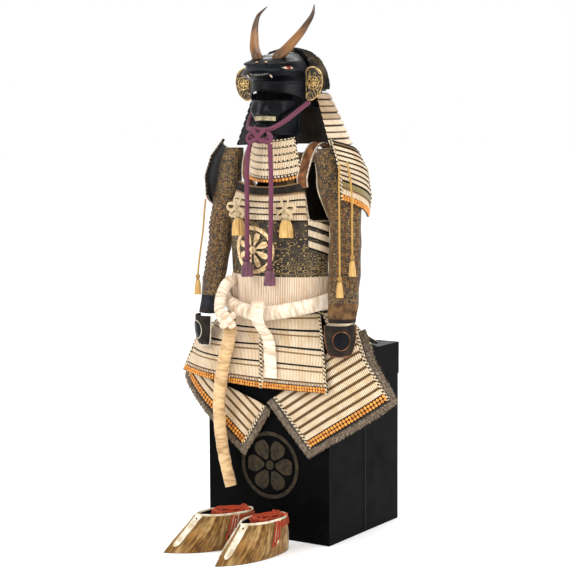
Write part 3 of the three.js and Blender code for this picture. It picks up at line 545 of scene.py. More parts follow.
def wrinkled_silk(name, light, shade, tint):
    """Matt silk wadding, creased across, with painted shade in its creases and a loose plain weave."""
    material, shader = material_named(name, 0.82, sheen=0.3)
    place, across, along = flat_place(material)
    crease = cloudy(material, place, 9, 4, stretch=(0.22, 1, 1))
    broad = cloudy(material, place, 30, 2, stretch=(0.4, 1, 1))
    fold = calc(material, "MULTIPLY_ADD", broad, 0.6, calc(material, "MULTIPLY", crease, 0.6))
    # The tone follows the folds: painted shade in their hollows and painted light on their ridges.
    tone = blend_of(material, over(material, 0.42, 0.72, fold), shade, light)
    tone = blend_of(material, calc(material, "MULTIPLY", over(material, 0.5, 0.8, broad), 0.35), tone, tint)
    connect(material, tone, shader.inputs["Base Color"])
    weave = calc(material, "MULTIPLY", stripes(material, across, 1.6), stripes(material, along, 1.6))
    bumped(material, shader, calc(material, "MULTIPLY_ADD", weave, 0.06, fold), 3.2)
    return material


def round_braid(name, light, dark, pitch=9.0):
    """A round silk cord plaited in a herringbone, with painted shade in the grooves between its plaits."""
    material, shader = material_named(name, 0.75, sheen=0.08, glint=0.25)
    _, across, along = flat_place(material)
    bend = calc(material, "ABSOLUTE",
                calc(material, "SUBTRACT", calc(material, "PINGPONG", across, pitch * 0.55), 0.0))
    chevron = stripes(material, calc(material, "ADD", along, bend), pitch * 0.62)
    # Painted shade: the dark colour fills the low grooves of the herringbone.
    line = over(material, 0.12, 0.55, chevron)
    connect(material, blend_of(material, line, dark, light), shader.inputs["Base Color"])
    bumped(material, shader, chevron, 1.1)
    return material


def tassel_silk(name, light, dark):
    """Loose silk threads hanging together."""
    material, shader = material_named(name, 0.6, sheen=0.4)
    place = flat_place(material)[0]
    thread = cloudy(material, place, 2.2, 2, stretch=(1, 0.05, 1))
    connect(material, blend_of(material, over(material, 0.35, 0.68, thread), dark, light),
            shader.inputs["Base Color"])
    bumped(material, shader, thread, 1.4)
    return material


def hair(name, root, tip, light):
    """Coarse animal hair: darker at the skin and pale at the tips. Its flat coordinates run
    from 0 at the root to 1 at the tip, and across them each hair has a number of its own."""
    material, shader = material_named(name, 0.6, sheen=0.1)
    _, own, way = flat_place(material)
    each = calc(material, "FRACT", calc(material, "MULTIPLY", own, 7.31))
    coat = blend_of(material, over(material, 0.55, 0.95, each), tip, light)
    connect(material, blend_of(material, over(material, 0.1, 0.85, way), root, coat),
            shader.inputs["Base Color"])
    return material


def hide(name, light, dark, depth=0.8):
    """Tanned skin under hair, or matt leather with a fine pebble grain."""
    material, shader = material_named(name, 0.75, glint=0.2)
    place = space_place(material)
    connect(material,
            blend_of(material, over(material, 0.35, 0.7, cloudy(material, place, 20, 4)), dark, light),
            shader.inputs["Base Color"])
    bumped(material, shader, cells(material, place, 3.5), depth * 0.5)
    return material


def short_fur():
    """Close golden-brown bear fur: short streaks lying back, with paler worn patches."""
    material, shader = material_named("short_bear_fur", 0.8, sheen=0.25, glint=0.2)
    place = flat_place(material)[0]
    streak = cloudy(material, place, 7, 3, stretch=(0.9, 0.22, 0.9))
    patch = over(material, 0.42, 0.66, cloudy(material, place, 46, 3))
    fur_tone = blend_of(material, over(material, 0.36, 0.66, streak), "#4e3211", "#8d6530")
    pale = blend_of(material, over(material, 0.4, 0.62, streak), "#8a6a3c", "#b89868")
    tone = blend_of(material, calc(material, "MULTIPLY", patch, 0.8), fur_tone, pale)
    connect(material, tone, shader.inputs["Base Color"])
    bumped(material, shader, streak, 1.6)
    return material


def polished_horn():
    """Gilded wood carved as horn: streaks along it, darker at the tip and the root."""
    material, shader = material_named("gilded_wood_horn", 0.4, glint=0.35)
    place, _, along = flat_place(material)
    streak = cloudy(material, place, 10, 4, stretch=(1, 0.08, 1))
    tone = blend_of(material, over(material, 0.35, 0.65, streak), "#3a2714", "#6b4624")
    ends = over(material, 95, 175, along)
    tone = blend_of(material, calc(material, "MULTIPLY", ends, 0.7), tone, "#2c1d10")
    fade = calc(material, "SUBTRACT", 1.0, over(material, 80, 130, along))
    glow = calc(material, "MULTIPLY", over(material, 15, 60, along), fade)
    tone = blend_of(material, calc(material, "MULTIPLY", glow, 0.55), tone, "#94622f")
    connect(material, tone, shader.inputs["Base Color"])
    bumped(material, shader, streak, 0.35)
    return material


def planed_wood():
    """Plain cedar with its growth rings, 6 mm apart on the face."""
    material, shader = material_named("planed_cedar", 0.6)
    place = space_place(material)
    rings = add_node(material, "TexWave", {"Vector": place, "Scale": 0.05, "Distortion": 5.0, "Detail": 2.0},
                     bands_direction="X")
    connect(material, blend_of(material, rings.outputs["Fac"], "#6b4a2c", "#a17c51"),
            shader.inputs["Base Color"])
    bumped(material, shader, rings.outputs["Fac"], 0.3)
    return material


def enamel(name, colour, roughness=0.3, shade=None):
    """A small painted or lacquered detail, a little uneven in tone."""
    material, shader = material_named(name, roughness, coat=0.2)
    place = space_place(material)
    uneven = over(material, 0.4, 0.65, cloudy(material, place, 8))
    connect(material, blend_of(material, uneven, colour, shade or colour), shader.inputs["Base Color"])
    return material


# The third colour of each lacing is painted shade, darkening the grooves between its braids.
cream = silk_lacing("cream_silk_lacing", "#fbe9cc", "#8f6b41", tired="#e2c294")
tan = silk_lacing("tan_silk_lacing", "#cfae7e", "#49331c", tired="#a48055")
green_gold = silk_lacing("green_gold_lacing", "#a8914e", "#4c3d1c", tired="#7a6a34")
waist_silk = silk_lacing("waist_silk_cords", "#fbe9d2", "#a07b57", pitch=5.2, tired="#e3c39f")
gold_edge = braided_edge("brown_gold_braid", "#a97d3f", "#3a2411", 6.0)
side_edge = braided_edge("cream_black_braid", "#d9c19c", "#1b1512", 11.0)
bead_silk = enamel("orange_silk_bead", "#e39a3a", 0.5, "#b4691f")
white_knot = enamel("white_silk_knot", "#f1dfc8", 0.65, "#c9ad8a")
scale_lacquer = urushi("lacquered_scales", "#120e0c", "#2b2118", 0.35)
lacquer = urushi("black_lacquered_iron", "#050609", "#0d1018", 0.26)
chest_seam = urushi("worn_lacquer_edge", "#1d1c1c", "#2b2a29", 0.4, 0.1, 0.06)
chest_lacquer = urushi("black_lacquered_wood", "#050505", "#0b0b0b", 0.42, 0.12, 0.03)
dark_leather = hide("dark_stained_leather", "#2a2118", "#14100c")
strap_leather = hide("russet_leather", "#8a5a36", "#50301a")
pale_piping = enamel("pale_leather_piping", "#c9bfae", 0.7, "#9c907c")
white_leather = hide("white_buckskin", "#e3d9c6", "#b3a285")
gilt_leather = printed_leather()
gold = old_gold()
pale_gold = old_gold("pale_gilding", "#f3d6a8", "#b7925f", 0.5)
faded_gold = old_gold("faded_gold_paint", "#3a2f1b", "#1c170f", 0.7)
brocade = mail_brocade()
# The second colour of each creased silk is painted shade in its creases.
ivory = wrinkled_silk("ivory_silk_sash", "#f1e2cc", "#b89c7c", "#d8bf9b")
straw = wrinkled_silk("aged_silk_sash", "#dcb988", "#a07a4c", "#c79f6c")
# The dark colour of each round braid is painted shade in the grooves of its plait.
purple = round_braid("mauve_silk_braid", "#80445a", "#3c1828")
purple_threads = tassel_silk("mauve_silk_threads", "#7f465b", "#3c1a2a")
yellow = round_braid("yellow_silk_braid", "#dcae5e", "#9a7030", 5.0)
yellow_threads = tassel_silk("yellow_silk_threads", "#e3bd74", "#a67c38")
bow_silk = round_braid("cream_silk_braid", "#f0d9b4", "#b0925f", 6.0)
fur = hair("grey_brown_fur", "#21170f", "#604c39", "#c4b299")
pelt = hide("fur_skin", "#4a3c30", "#241b14")
bear_skin = hide("bear_skin", "#8a5f26", "#553611")
navy = hide("navy_lining_cloth", "#23232c", "#0f0f15")
# Its dark colour is painted shade in the grooves of the plait.
red_cord = round_braid("orange_red_cord", "#d24a1c", "#86260c", 4.0)
horn_finish = polished_horn()
cedar = planed_wood()
head_cloth = hide("black_hemp_cloth", "#0d0c0b", "#060606")
eye_white = enamel("ivory_inlay", "#cdbfa4", 0.3, "#a0906f")
eye_rim = enamel("grey_eye_rim", "#7c7468", 0.4, "#4b443a")
eye_red = enamel("red_lacquer", "#8e1f14", 0.25, "#5c120c")
mane_lacquer = urushi("lacquered_mane", "#0c0a08", "#4a3b26", 0.3)
moustache = enamel("pale_moustache", "#8f8462", 0.7, "#b9a987")
bear_hide = short_fur()
cuff_silk = hide("brown_cuff_silk", "#755533", "#402a18")
small_plate = urushi("russet_lacquered_plates", "#5f3e20", "#8a6036", 0.35)
# The second colour is painted shade in the creases of the lining.
lining = wrinkled_silk("pale_lining_silk", "#d9c6a4", "#8d7750", "#b39b70")

set_up_view()


# ---- Cords and tassels ----

CORDS = [
    {"name": "chin_cord_end_left", "diameter": 13, "length": 0.326, "tassel": (60, 17), "silk": purple,
     "threads": purple_threads,
     "points": [(43, -246, 1098), (46, -248, 1060), (47, -247, 1000), (45, -246, 900), (40, -246, 773)]},
    {"name": "chin_cord_end_right", "diameter": 13, "length": 0.305, "tassel": (60, 17), "silk": purple,
     "threads": purple_threads,
     "points": [(-21, -246, 1098), (-29, -248, 1060), (-32, -247, 1000), (-33, -246, 900), (-34, -246, 794)]},
    {"name": "guard_cord_left_front", "diameter": 5, "length": 0.3, "tassel": (60, 10), "silk": yellow,
     "threads": yellow_threads,
     "points": [(225, -184, 1046), (226, -189, 1010), (228, -192, 950), (233, -199, 850), (239, -208, 748)]},
    {"name": "guard_cord_left_back", "diameter": 5, "length": 0.248, "tassel": (60, 10), "silk": yellow,
     "threads": yellow_threads,
     "points": [(237, -166, 1050), (247, -165, 1000), (252, -166, 950), (256, -172, 880), (261, -179, 804)]},
    {"name": "guard_cord_right", "diameter": 5, "length": 0.212, "tassel": (60, 10), "silk": yellow,
     "threads": yellow_threads,
     "points": [(-221, -178, 940), (-222, -184, 900), (-223, -190, 850), (-227, -199, 790),
                (-230, -207, 730)]},
]


def on_body(points):
    """Points of the armour's own tables, placed in the set."""
    return [Vector((x + BODY_X, y, z)) for x, y, z in points]


def tassel(piece, top, length, radius, silk, threads):
    """A knotted head, a bound neck and a skirt of threads with a ragged end."""
    x, y, z = top
    piece.ball((x, y, z - length * 0.12), (radius * 0.66, radius * 0.66, length * 0.13), silk, 12, 6)
    piece.ball((x, y, z - length * 0.27), (radius * 0.56, radius * 0.56, length * 0.045), silk, 12, 4)
    profile = [(0.42, 0.25), (0.62, 0.32), (0.8, 0.45), (0.9, 0.65), (0.97, 0.85), (0.98, 0.96)]
    sides = 36
    rows, flat = [], []
    for k, (reach, down) in enumerate(profile):
        row = []
        for i in range(sides):
            turn = math.tau * i / sides
            lock = 1 - 0.09 * (i % 3) * min(1, k / 2) + 0.05 * wobble(i * 1.7, k * 0.4, z * 0.1)
            ragged = 0.04 * wobble(i * 2.3, x, y) if k == len(profile) - 1 else 0
            out = radius * reach * lock
            row.append(Vector((x + out * math.cos(turn), y + out * math.sin(turn),
                               z - length * (down + ragged))))
        rows.append(row)
        flat.append([(radius * math.tau * i / sides, length * down) for i in range(sides + 1)])
    floor = [Vector((x, y, z - length * 0.9))] * sides
    rows.append(floor)
    flat.append([(radius * math.tau * i / sides, length * 1.1) for i in range(sides + 1)])
    return piece.grid(rows, flat, threads, closed=True, turned=True)


def make_cords():
    """Every free cord with its tassel."""
    for row in CORDS:
        line = route(on_body(row["points"]), 40)
        radius = row["diameter"] / 2
        made = Piece(row["name"] + "_braid").roll(line, radius, radius, row["silk"], 12, (0, 1, 0))
        cord = made.build(row["name"])
        end = tassel(Piece(row["name"] + "_tassel_silk"), line[-1], *row["tassel"], row["silk"],
                     row["threads"])
        tail = end.build(row["name"] + "_tassel")


make_cords()

# ---- The body of the armour ----

TORSO_Y = -108
TORSO = [
    {"z": 640, "wide": 161, "deep": 113}, {"z": 737, "wide": 160, "deep": 113},
    {"z": 820, "wide": 163, "deep": 116}, {"z": 900, "wide": 162, "deep": 117},
    {"z": 960, "wide": 152, "deep": 109}, {"z": 1005, "wide": 138, "deep": 97},
    {"z": 1040, "wide": 126, "deep": 88}, {"z": 1060, "wide": 119, "deep": 83},
]
CUIRASS = {"bottom": 737, "armhole": 888, "front_top": 993, "front_dip": 12,
           "back_top": 1058}
WAIST = {"top": 736.5, "bottom": 644}
TASSET_TOP = 642
ROW = {"ledge": 2.6, "back": -2.5}


def torso_point(angle, z):
    """The body of the cuirass at an angle and a height."""
    at = table_at(TORSO, "z", z)
    return oval(angle, at["wide"], at["deep"], TORSO_Y, z)


def banded(low, high, parts, count=1, ledge=None):
    """Rows of laced scales from one height to another. parts are (share, finish, proud) of one
    row from its bottom up; each row stands over the row below it by the ledge."""
    ledge = ROW["ledge"] if ledge is None else ledge
    rows = []
    total = sum(part[0] for part in parts)
    for k in range(count):
        gone = 0.0
        for share, finish, proud in parts:
            start, end = gone / total, (gone + share) / total
            for step, swell in ((0.0, 0.55), (0.25, 1.0), (0.75, 1.0), (1.0, 0.5)):
                part = lerp(start, end, step)
                v = lerp(low, high, (k + part) / count)
                rows.append((v, lerp(ledge, 0, part) + proud * swell, ROW["back"], finish))
            gone += share
    return rows


def plain_band(heights, outer, finish):
    """A band of one finish over the given heights."""
    return [(v, outer, ROW["back"], finish) for v in heights]


def along_line(point, places, lift, pitch):
    """Evenly spaced points and outward normals on a line over point(u, v)."""
    line = [point(u, v) for u, v in places]
    lengths = [0.0]
    for p, q in zip(line, line[1:]):
        lengths.append(lengths[-1] + (q - p).length)
    count = max(1, round(lengths[-1] / pitch))
    found = []
    for i in range(count):
        target = lengths[-1] * (i + 0.5) / count
        k = max(j for j in range(len(lengths) - 1) if lengths[j] <= target)
        part = (target - lengths[k]) / max(1e-9, lengths[k + 1] - lengths[k])
        u = lerp(places[k][0], places[k + 1][0], part)
        v = lerp(places[k][1], places[k + 1][1], part)
        du = max(abs(places[-1][0] - places[0][0]), 1e-6) * 1e-3
        normal = normal_at(point, u, v, du, 1e-3)
        across = (line[k + 1] - line[k]).normalized()
        found.append((point(u, v) + normal * lift, normal, across))
    return found


def framed(normal, across):
    """A turn that puts X across, Y out of the surface and Z up along it."""
    up = across.cross(normal).normalized()
    side = normal.cross(up).normalized()
    frame_now = Matrix((side, normal, up)).transposed()
    return frame_now


def bead_row(piece, point, places, lift, size, finish):
    """A row of round silk beads, each a little higher than wide."""
    for place, normal, across in along_line(point, places, lift, size):
        piece.ball(place, (size * 0.47, size * 0.34, size * 0.52), finish, 8, 4, framed(normal, across))


def knot_row(piece, point, places, lift, size, finish):
    """A row of small crossed stitches."""
    for place, normal, across in along_line(point, places, lift, size):
        turn = framed(normal, across)
        for lean in (-42, 42):
            tilt = turn @ Matrix.Rotation(math.radians(lean), 3, "Y")
            piece.ball(place, (size * 0.58, size * 0.1, size * 0.13), finish, 5, 3, tilt)


def make_cuirass():
    """Both halves of the cuirass, the waist cords and the rows under the arm."""
    def top_of(angle):
        """The upper edge: level over the breast or the back and hollowed under the arm."""
        near, level, slope = abs(angle), 48, 4
        top = CUIRASS["front_top"] - CUIRASS["front_dip"] * max(0, 1 - (near / 40) ** 2)
        if near > 90:
            near, level, slope, top = 180 - near, 46, 30, CUIRASS["back_top"]
        t = clamp((near - level) / slope)
        return lerp(top, CUIRASS["armhole"] + 4, (1 - math.cos(math.pi * t)) / 2)

    def point(angle, v):
        around = (angle + 180) % 360 - 180
        if v < 1:
            return torso_point(angle, lerp(CUIRASS["bottom"], CUIRASS["armhole"], v))
        return torso_point(angle, lerp(CUIRASS["armhole"], top_of(around), v - 1))

    laced = [(0.30, scale_lacquer, 0.3), (1.0, cream, 1.4)]
    for name, first, last in (("front", -89.6, 89.6), ("back", 90.4, 269.6)):
        rows = plain_band([0, 0.5], 0, gilt_leather) + [(0.98, 0, ROW["back"], gilt_leather)]
        rows += banded(1.0, 1.72, laced, 4)
        rows += [(1.72, 3.5, ROW["back"], gold_edge), (1.76, 4.0, ROW["back"], dark_leather),
                 (1.96, 4.0, ROW["back"], gold_edge), (2.0, 3.2, ROW["back"], gold_edge)]
        made = Piece(f"cuirass_{name}_laced")
        columns = spread(first, last, 44)
        if name == "front":
            columns = sorted([a for a in columns if min(abs(abs(a) - 48), abs(abs(a) - 52)) > 1.5]
                             + [-52, -50.7, -49.3, -48, 48, 49.3, 50.7, 52])
        made.wall(point, columns, rows, dark_leather, 510, 280)
        made.build(f"cuirass_{name}", "leather")

    def waist(angle, v):
        return torso_point(angle, lerp(WAIST["bottom"], WAIST["top"], v))

    def pucker(angle, v):
        pleat = abs(math.sin(angle * 1.05 + 0.8 * math.sin(v * 4 + angle * 0.11)))
        return 0.2 + 2.4 * pleat ** 0.6 * (0.35 + 0.65 * v) + 0.8 * wobble(angle * 0.08, v * 2)

    rows = [(0, 0.2, -2, waist_silk)] + [(v, pucker, -2, waist_silk) for v in spread(0.08, 0.94, 8)]
    rows += [(1, 0.4, -2, waist_silk)]
    made = Piece("waist_cords")
    made.wall(waist, spread(0, 360, 300)[:-1], rows, scale_lacquer, 1010, 92, closed=True)
    made.build("waist_lacing", "lacing")

    # Rows laced only under the arms, on the front's outer sides.
    made = Piece("cuirass_side_lacing")
    for low in (868, 838, 808):
        def side(angle, v, low=low):
            return torso_point(angle, low - 0.8 * (angle - 58) + 22 * v)

        made.wall(side, spread(50, 88, 12), [(v, out + 1.2, 0.3, kind) for v, out, _, kind in
                                            banded(0, 1, [(0.25, scale_lacquer, 0.2), (0.75, cream, 1.2)])],
                  scale_lacquer, 110, 22)
    made.build(slot="lacing")


def make_roundel():
    """A gilt badge on the breast: a ring round a rosette of eight petals."""
    angle, z, radius = -11, 808, 66

    def place(reach, turn, lift):
        u = angle + math.degrees(reach * math.cos(turn) / 152)
        at = torso_point(u, z + reach * math.sin(turn))
        return at + normal_at(torso_point, u, z, 0.5, 1.0) * (1.2 + lift)

    piece = Piece("cuirass_roundel")
    sides = 56
    for low, high, lift, finish in ((0.82, 1.0, 1.6, pale_gold), (0.0, 0.17, 2.2, pale_gold)):
        rings = [[place(radius * lerp(low, high, part), math.tau * k / sides, top * lift)
                  for k in range(sides)] for part, top in ((0, -0.6), (0.12, 1), (0.88, 1), (1, -0.6))]
        piece.grid(rings, [[(k * 3, i * 4) for k in range(sides + 1)] for i in range(4)], finish, True)
    for k in range(8):
        turn = math.tau * (k + 0.5) / 8
        rows = []
        for i in range(8):
            reach = radius * lerp(0.2, 0.76, i / 7)
            half = math.sin(math.pi * (0.1 + 0.82 * i / 7)) ** 0.6 * 0.24
            rows.append([place(reach, turn - half * s, 0.5 + 1.2 * (1 - abs(s)))
                         for s in (-1, -0.5, 0, 0.5, 1)])
        piece.grid(rows, [[(s * 4, i * 5) for s in range(5)] for i in range(8)], pale_gold)
    piece.build(slot="leather")


# ---- Skirt ----

# Each section hangs from the waist between two angles of the body. Its knee and hem run from
# one end to the other, bowed outwards in the middle.
TASSETS = [
    {"name": "front_left", "angles": (0.4, 63), "bow": (3, 3),
     "knee": ((-11, -212, 540), (190, -208, 535)), "hem": ((-11, -213, 425), (202, -211, 428))},
    {"name": "front_right", "angles": (-36, -0.4), "bow": (2, 2),
     "knee": ((-119, -210, 538), (-12, -212, 540)), "hem": ((-124, -211, 430), (-13, -213, 425))},
    {"name": "side_right", "angles": (-100, -37), "bow": (24, 12),
     "knee": ((-282, -134, 545), (-121, -210, 538)), "hem": ((-295, -190, 448), (-126.5, -213, 430))},
    {"name": "side_left", "angles": (65, 118), "bow": (3, 3),
     "knee": ((204, -164, 535), (205, 10, 535)), "hem": ((212, -164, 440), (216, 12, 440))},
    {"name": "back", "angles": (120, 238), "bow": (58, 86),
     "knee": ((168, 32, 560), (-188, 12, 560)), "hem": ((182, 92, 526), (-196, 76, 526))},
]
KNEE_AT = 0.52


def tasset_point(row, u, v):
    """u from one end to the other, v from the hem at 0 to the waist at 1."""
    top = torso_point(lerp(*row["angles"], u), TASSET_TOP)

    def on_edge(ends, bow):
        first, last = on_body(ends)
        out = Vector((last.y - first.y, first.x - last.x, 0)).normalized()
        return first.lerp(last, u) + out * (bow * math.sin(math.pi * clamp(u)))

    knee, hem = on_edge(row["knee"], row["bow"][0]), on_edge(row["hem"], row["bow"][1])
    if v < KNEE_AT:
        return hem.lerp(knee, v / KNEE_AT)
    return knee.lerp(top, (v - KNEE_AT) / (1 - KNEE_AT))


def make_tassets():
    """The laced sections of the skirt."""
    for row in TASSETS:
        def point(u, v, row=row):
            return tasset_point(row, u, v)

        made = Piece(f"tasset_{row['name']}_laced")
        parts = [(0.62, cream, 1.6), (0.1, gold_edge, 0.6), (0.2, cream, 1.4), (0.12, scale_lacquer, -0.2)]
        rows = [(0, 2.6, -2.5, dark_leather), (0.1, 2.4, -2.5, gold_edge), (0.125, 2.2, -2.5, scale_lacquer)]
        rows += banded(0.135, 1, parts, 4)
        width = (tasset_point(row, 1, KNEE_AT) - tasset_point(row, 0, KNEE_AT)).length
        made.wall(point, spread(0, 1, 24), rows, scale_lacquer, width, 218)
        for v, size in ((0.022, 8.4), (0.058, 8.4)):
            bead_row(made, point, [(u, v) for u in spread(0.01, 0.99, 16)], 3.4, size, bead_silk)
        knot_row(made, point, [(u, 0.1) for u in spread(0.01, 0.99, 16)], 3.6, 9, white_knot)
        for u in (0.012, 0.988):
            edge = [raised(point, u, v, 3.4, 1e-3, 1e-3) for v in spread(0.0, 0.99, 30)]
            made.roll(edge, 4.2, 1.5, side_edge, 8, aside=(edge[0] - point(0.5, 0)).normalized())
        made.build(f"tasset_{row['name']}", "lacing")


make_cuirass()
make_roundel()
make_tassets()

# ---- Thigh guards and their fur ----

# Each panel hangs by one corner: low is its lowest corner and lean the angle of its rows. Its
# inner and outer sides lean off the upright by their own turns; past bend it curves back.
THIGH = {"base": -198, "trim": 15, "lid_z": 522, "lean_in": 0.5}
THIGH_GUARDS = [
    {"name": "left", "side": 1, "low": (138, 268), "lean": 32.6, "width": 268,
     "inner": (42, 176), "outer": (30, 205), "bend": (183, 208)},
    {"name": "right", "side": -1, "low": (-82, 256), "lean": 39.5, "width": 276,
     "inner": (33, 140), "outer": (33, 38), "bend": (179, 225)},
]


def thigh_point(guard, across, up):
    """A point of a panel: across from the low corner along the rows, and up along its sides."""
    lean = math.radians(guard["lean"])
    turn = math.radians(lerp(guard["inner"][0], guard["outer"][0], across / guard["width"]))
    flat_x = guard["low"][0] + guard["side"] * (across * math.cos(lean) - up * math.sin(turn))
    z = guard["low"][1] + across * math.sin(lean) + up * math.cos(turn)
    start, radius = guard["bend"]
    bent = max(0, abs(flat_x) - start) / radius
    x = min(abs(flat_x), start) + radius * math.sin(bent)
    lean_in = THIGH["lean_in"] * max(0, z - THIGH["lid_z"]) * clamp((x - 120) / 80)
    y = THIGH["base"] + radius * (1 - math.cos(bent)) + lean_in
    return Vector((math.copysign(x, flat_x) + BODY_X, y, z))


def fur_on(name, point, places, count, length, fall, root, finish, replaces, slot, width=1.7, lift=2.0):
    """Hair standing off a skin. places(k) gives (u, v) of hair k and the way it leans."""
    piece = Piece(name, finish)
    for k in range(count):
        u, v, lean = places(k)
        at = point(u, v)
        normal = normal_at(point, u, v, 0.4, 0.02)
        way = (lean + normal * random.uniform(0.15, 0.75)
               + Vector((random.gauss(0, 0.33), random.gauss(0, 0.2), random.gauss(0, 0.33)))).normalized()
        tall = length * random.uniform(0.55, 1.15)
        side = way.cross(normal + Vector((0.01, 0.02, 0.03))).normalized()
        side = side * (width * random.uniform(0.6, 1.2) / 2)
        drop = Vector((0, 0, -fall * tall))
        foot = at + normal * (root + lift * random.random())
        middle, tip = foot + way * tall * 0.55 + drop * 0.25, foot + way * tall + drop
        start = len(piece.points)
        piece.points += [foot - side, foot + side, middle - side * 0.8, middle + side * 0.8, tip]
        own = random.random() * 9
        piece.face([start, start + 1, start + 3, start + 2],
                   [(own, 0), (own, 0), (own, 0.55), (own, 0.55)], 0)
        piece.face([start + 2, start + 3, start + 4], [(own, 0.55), (own, 0.55), (own, 1)], 0)
    return piece.build(replaces, slot)


def make_thigh_guards():
    """The two laced guards over the thighs, edged with fur."""
    for guard in THIGH_GUARDS:
        side, width = guard["side"], guard["width"]
        inner, outer = guard["inner"][1], guard["outer"][1]
        tall = max(inner, outer)

        def height_at(u):
            return lerp(inner, outer, abs(u) / width)

        def panel(u, v, guard=guard, tall=tall, height_at=height_at):
            return thigh_point(guard, clamp(abs(u), 0, 900), min(v * tall, height_at(u)))

        columns = spread(0, width, 30) if side > 0 else spread(-width, 0, 30)
        rows = [(0, 2.4, -2.5, dark_leather), (22 / tall, 2.4, -2.5, scale_lacquer)]
        bands = round((tall - 28) / 23.5)
        rows += banded(24 / tall, 1, [(0.62, cream, 1.5), (0.13, gold_edge, 1.0), (0.1, scale_lacquer, -0.2),
                                      (0.15, gold_edge, 0.9)], bands, 1.8)
        trimmed = []
        for v, out, back, kind in rows:
            def stand(u, at, out=out, tall=tall, height_at=height_at):
                return out if at * tall < height_at(u) else 0.0
            trimmed.append((v, stand, back, kind))
        made = Piece(f"thigh_guard_{guard['name']}_laced")
        made.wall(panel, columns, trimmed, scale_lacquer, width, tall)
        reach = spread(4, width - 4, 30) if side > 0 else spread(-width + 4, -4, 30)
        for up in (6.5, 16.5):
            places = [(u, up / tall) for u in reach if height_at(u) > up + 4]
            bead_row(made, panel, places, 3.6, 9.6, bead_silk)
        for across, top in ((3.2, inner), (width - 3.2, outer)):
            u = across * side
            edge = [raised(panel, u, up / tall, 3.2, 0.5, 0.01)
                    for up in spread(0, top, 24)]
            made.roll(edge, 4.4, 1.4, side_edge, 8, aside=(edge[0] - panel(width / 2, 0)).normalized())
        made.build(f"thigh_guard_{guard['name']}", "lacing")

        # The fur runs down the inner side, along the bottom and up the outer side.
        trim = THIGH["trim"]
        track = [((-1.5, inner), (-trim, inner)), ((-1.5, -1.5), (-trim, -trim)),
                 ((width + 1.5, -1.5), (width + trim, -trim)), ((width + 1.5, outer), (width + trim, outer))]

        def strip(u, v, guard=guard, track=track):
            leg = int(clamp(math.floor(abs(u)), 0, 2))
            part = abs(u) - leg
            near = [lerp(track[leg][0][k], track[leg + 1][0][k], part) for k in (0, 1)]
            far = [lerp(track[leg][1][k], track[leg + 1][1][k], part) for k in (0, 1)]
            return thigh_point(guard, lerp(far[0], near[0], v), lerp(far[1], near[1], v))

        stations = spread(0, 1, 6) + spread(1, 2, 14)[1:] + spread(2, 3, 6)[1:]
        order = stations if side > 0 else [-u for u in reversed(stations)]
        skin = Piece(f"fur_skin_{guard['name']}")
        skin.wall(strip, order, [(0, 1.6, -1.6, pelt), (0.5, 2.4, -2.4, pelt), (1, 1.6, -1.6, pelt)],
                  pelt, 500, 14)
        skin.build(f"fur_trim_{guard['name']}", "fur")
        spans = [inner, width, outer]

        def place(k, strip=strip, spans=spans, side=side):
            way = random.random() * sum(spans)
            leg = 0 if way < spans[0] else 1 if way < spans[0] + spans[1] else 2
            u = leg + clamp((way - sum(spans[:leg])) / spans[leg], 0.005, 0.995)
            v = random.random() ** 0.8
            out = (strip(side * u, 0.0) - strip(side * u, 1.0)).normalized()
            return side * u, v, out * 0.9 + Vector((0, 0, -0.35))

        fur_on(f"fur_hair_{guard['name']}", strip, place, round(sum(spans) * 22), 11.5, 0.12, 0.8, fur,
               (), "fur")


# ---- Shoulder guards, throat guard and neck guard ----


def make_shoulder_guards():
    """The two laced guards that hang from the shoulders."""
    front = [{"v": 0, "x": 220, "y": -170, "z": 950}, {"v": 0.35, "x": 220, "y": -176, "z": 1005},
             {"v": 0.7, "x": 203, "y": -170, "z": 1060}, {"v": 1, "x": 174, "y": -150, "z": 1108}]
    back = [{"v": 0, "x": 229, "y": -44, "z": 896}, {"v": 0.35, "x": 238, "y": -44, "z": 952},
            {"v": 0.7, "x": 228, "y": -46, "z": 1022}, {"v": 1, "x": 202, "y": -52, "z": 1074}]
    for name, side in (("left", 1), ("right", -1)):
        def point(u, v, side=side):
            part = u if side > 0 else 1 - u
            first, last = table_at(front, "v", v), table_at(back, "v", v)
            x = lerp(first["x"], last["x"], part) + 22 * math.sin(math.pi * clamp(part))
            return Vector((BODY_X + side * x, lerp(first["y"], last["y"], part),
                           lerp(first["z"], last["z"], part)))

        made = Piece(f"shoulder_guard_{name}_laced")
        rows = [(0, 2.6, -2.5, dark_leather), (0.1, 2.4, -2.5, scale_lacquer)]
        rows += banded(0.11, 0.24, [(0.7, cream, 1.2), (0.3, gold_edge, 0.8)], 1)
        rows += banded(0.24, 0.36, [(0.75, green_gold, 1.2), (0.25, scale_lacquer, 0)], 1)
        laced = [(0.66, cream, 1.4), (0.16, gold_edge, 0.8), (0.18, scale_lacquer, -0.2)]
        rows += banded(0.36, 0.94, laced, 7, 2.0)
        rows += [(0.945, 3.0, -2.5, gold_edge), (0.96, 3.4, -2.5, dark_leather),
                 (1.0, 2.6, -2.5, dark_leather)]
        made.wall(point, spread(0, 1, 26), rows, scale_lacquer, 150, 190)
        for v in (0.03, 0.078):
            bead_row(made, point, [(u, v) for u in spread(0.01, 0.99, 16)], 3.4, 8.6, bead_silk)
        for u in (0.015, 0.985):
            edge = [raised(point, u, v, 3.2, 1e-3, 1e-3) for v in spread(0, 1, 24)]
            made.roll(edge, 3.8, 1.4, side_edge, 8, aside=(edge[0] - point(0.5, 0)).normalized())
        made.build(f"shoulder_guard_{name}", "lacing")


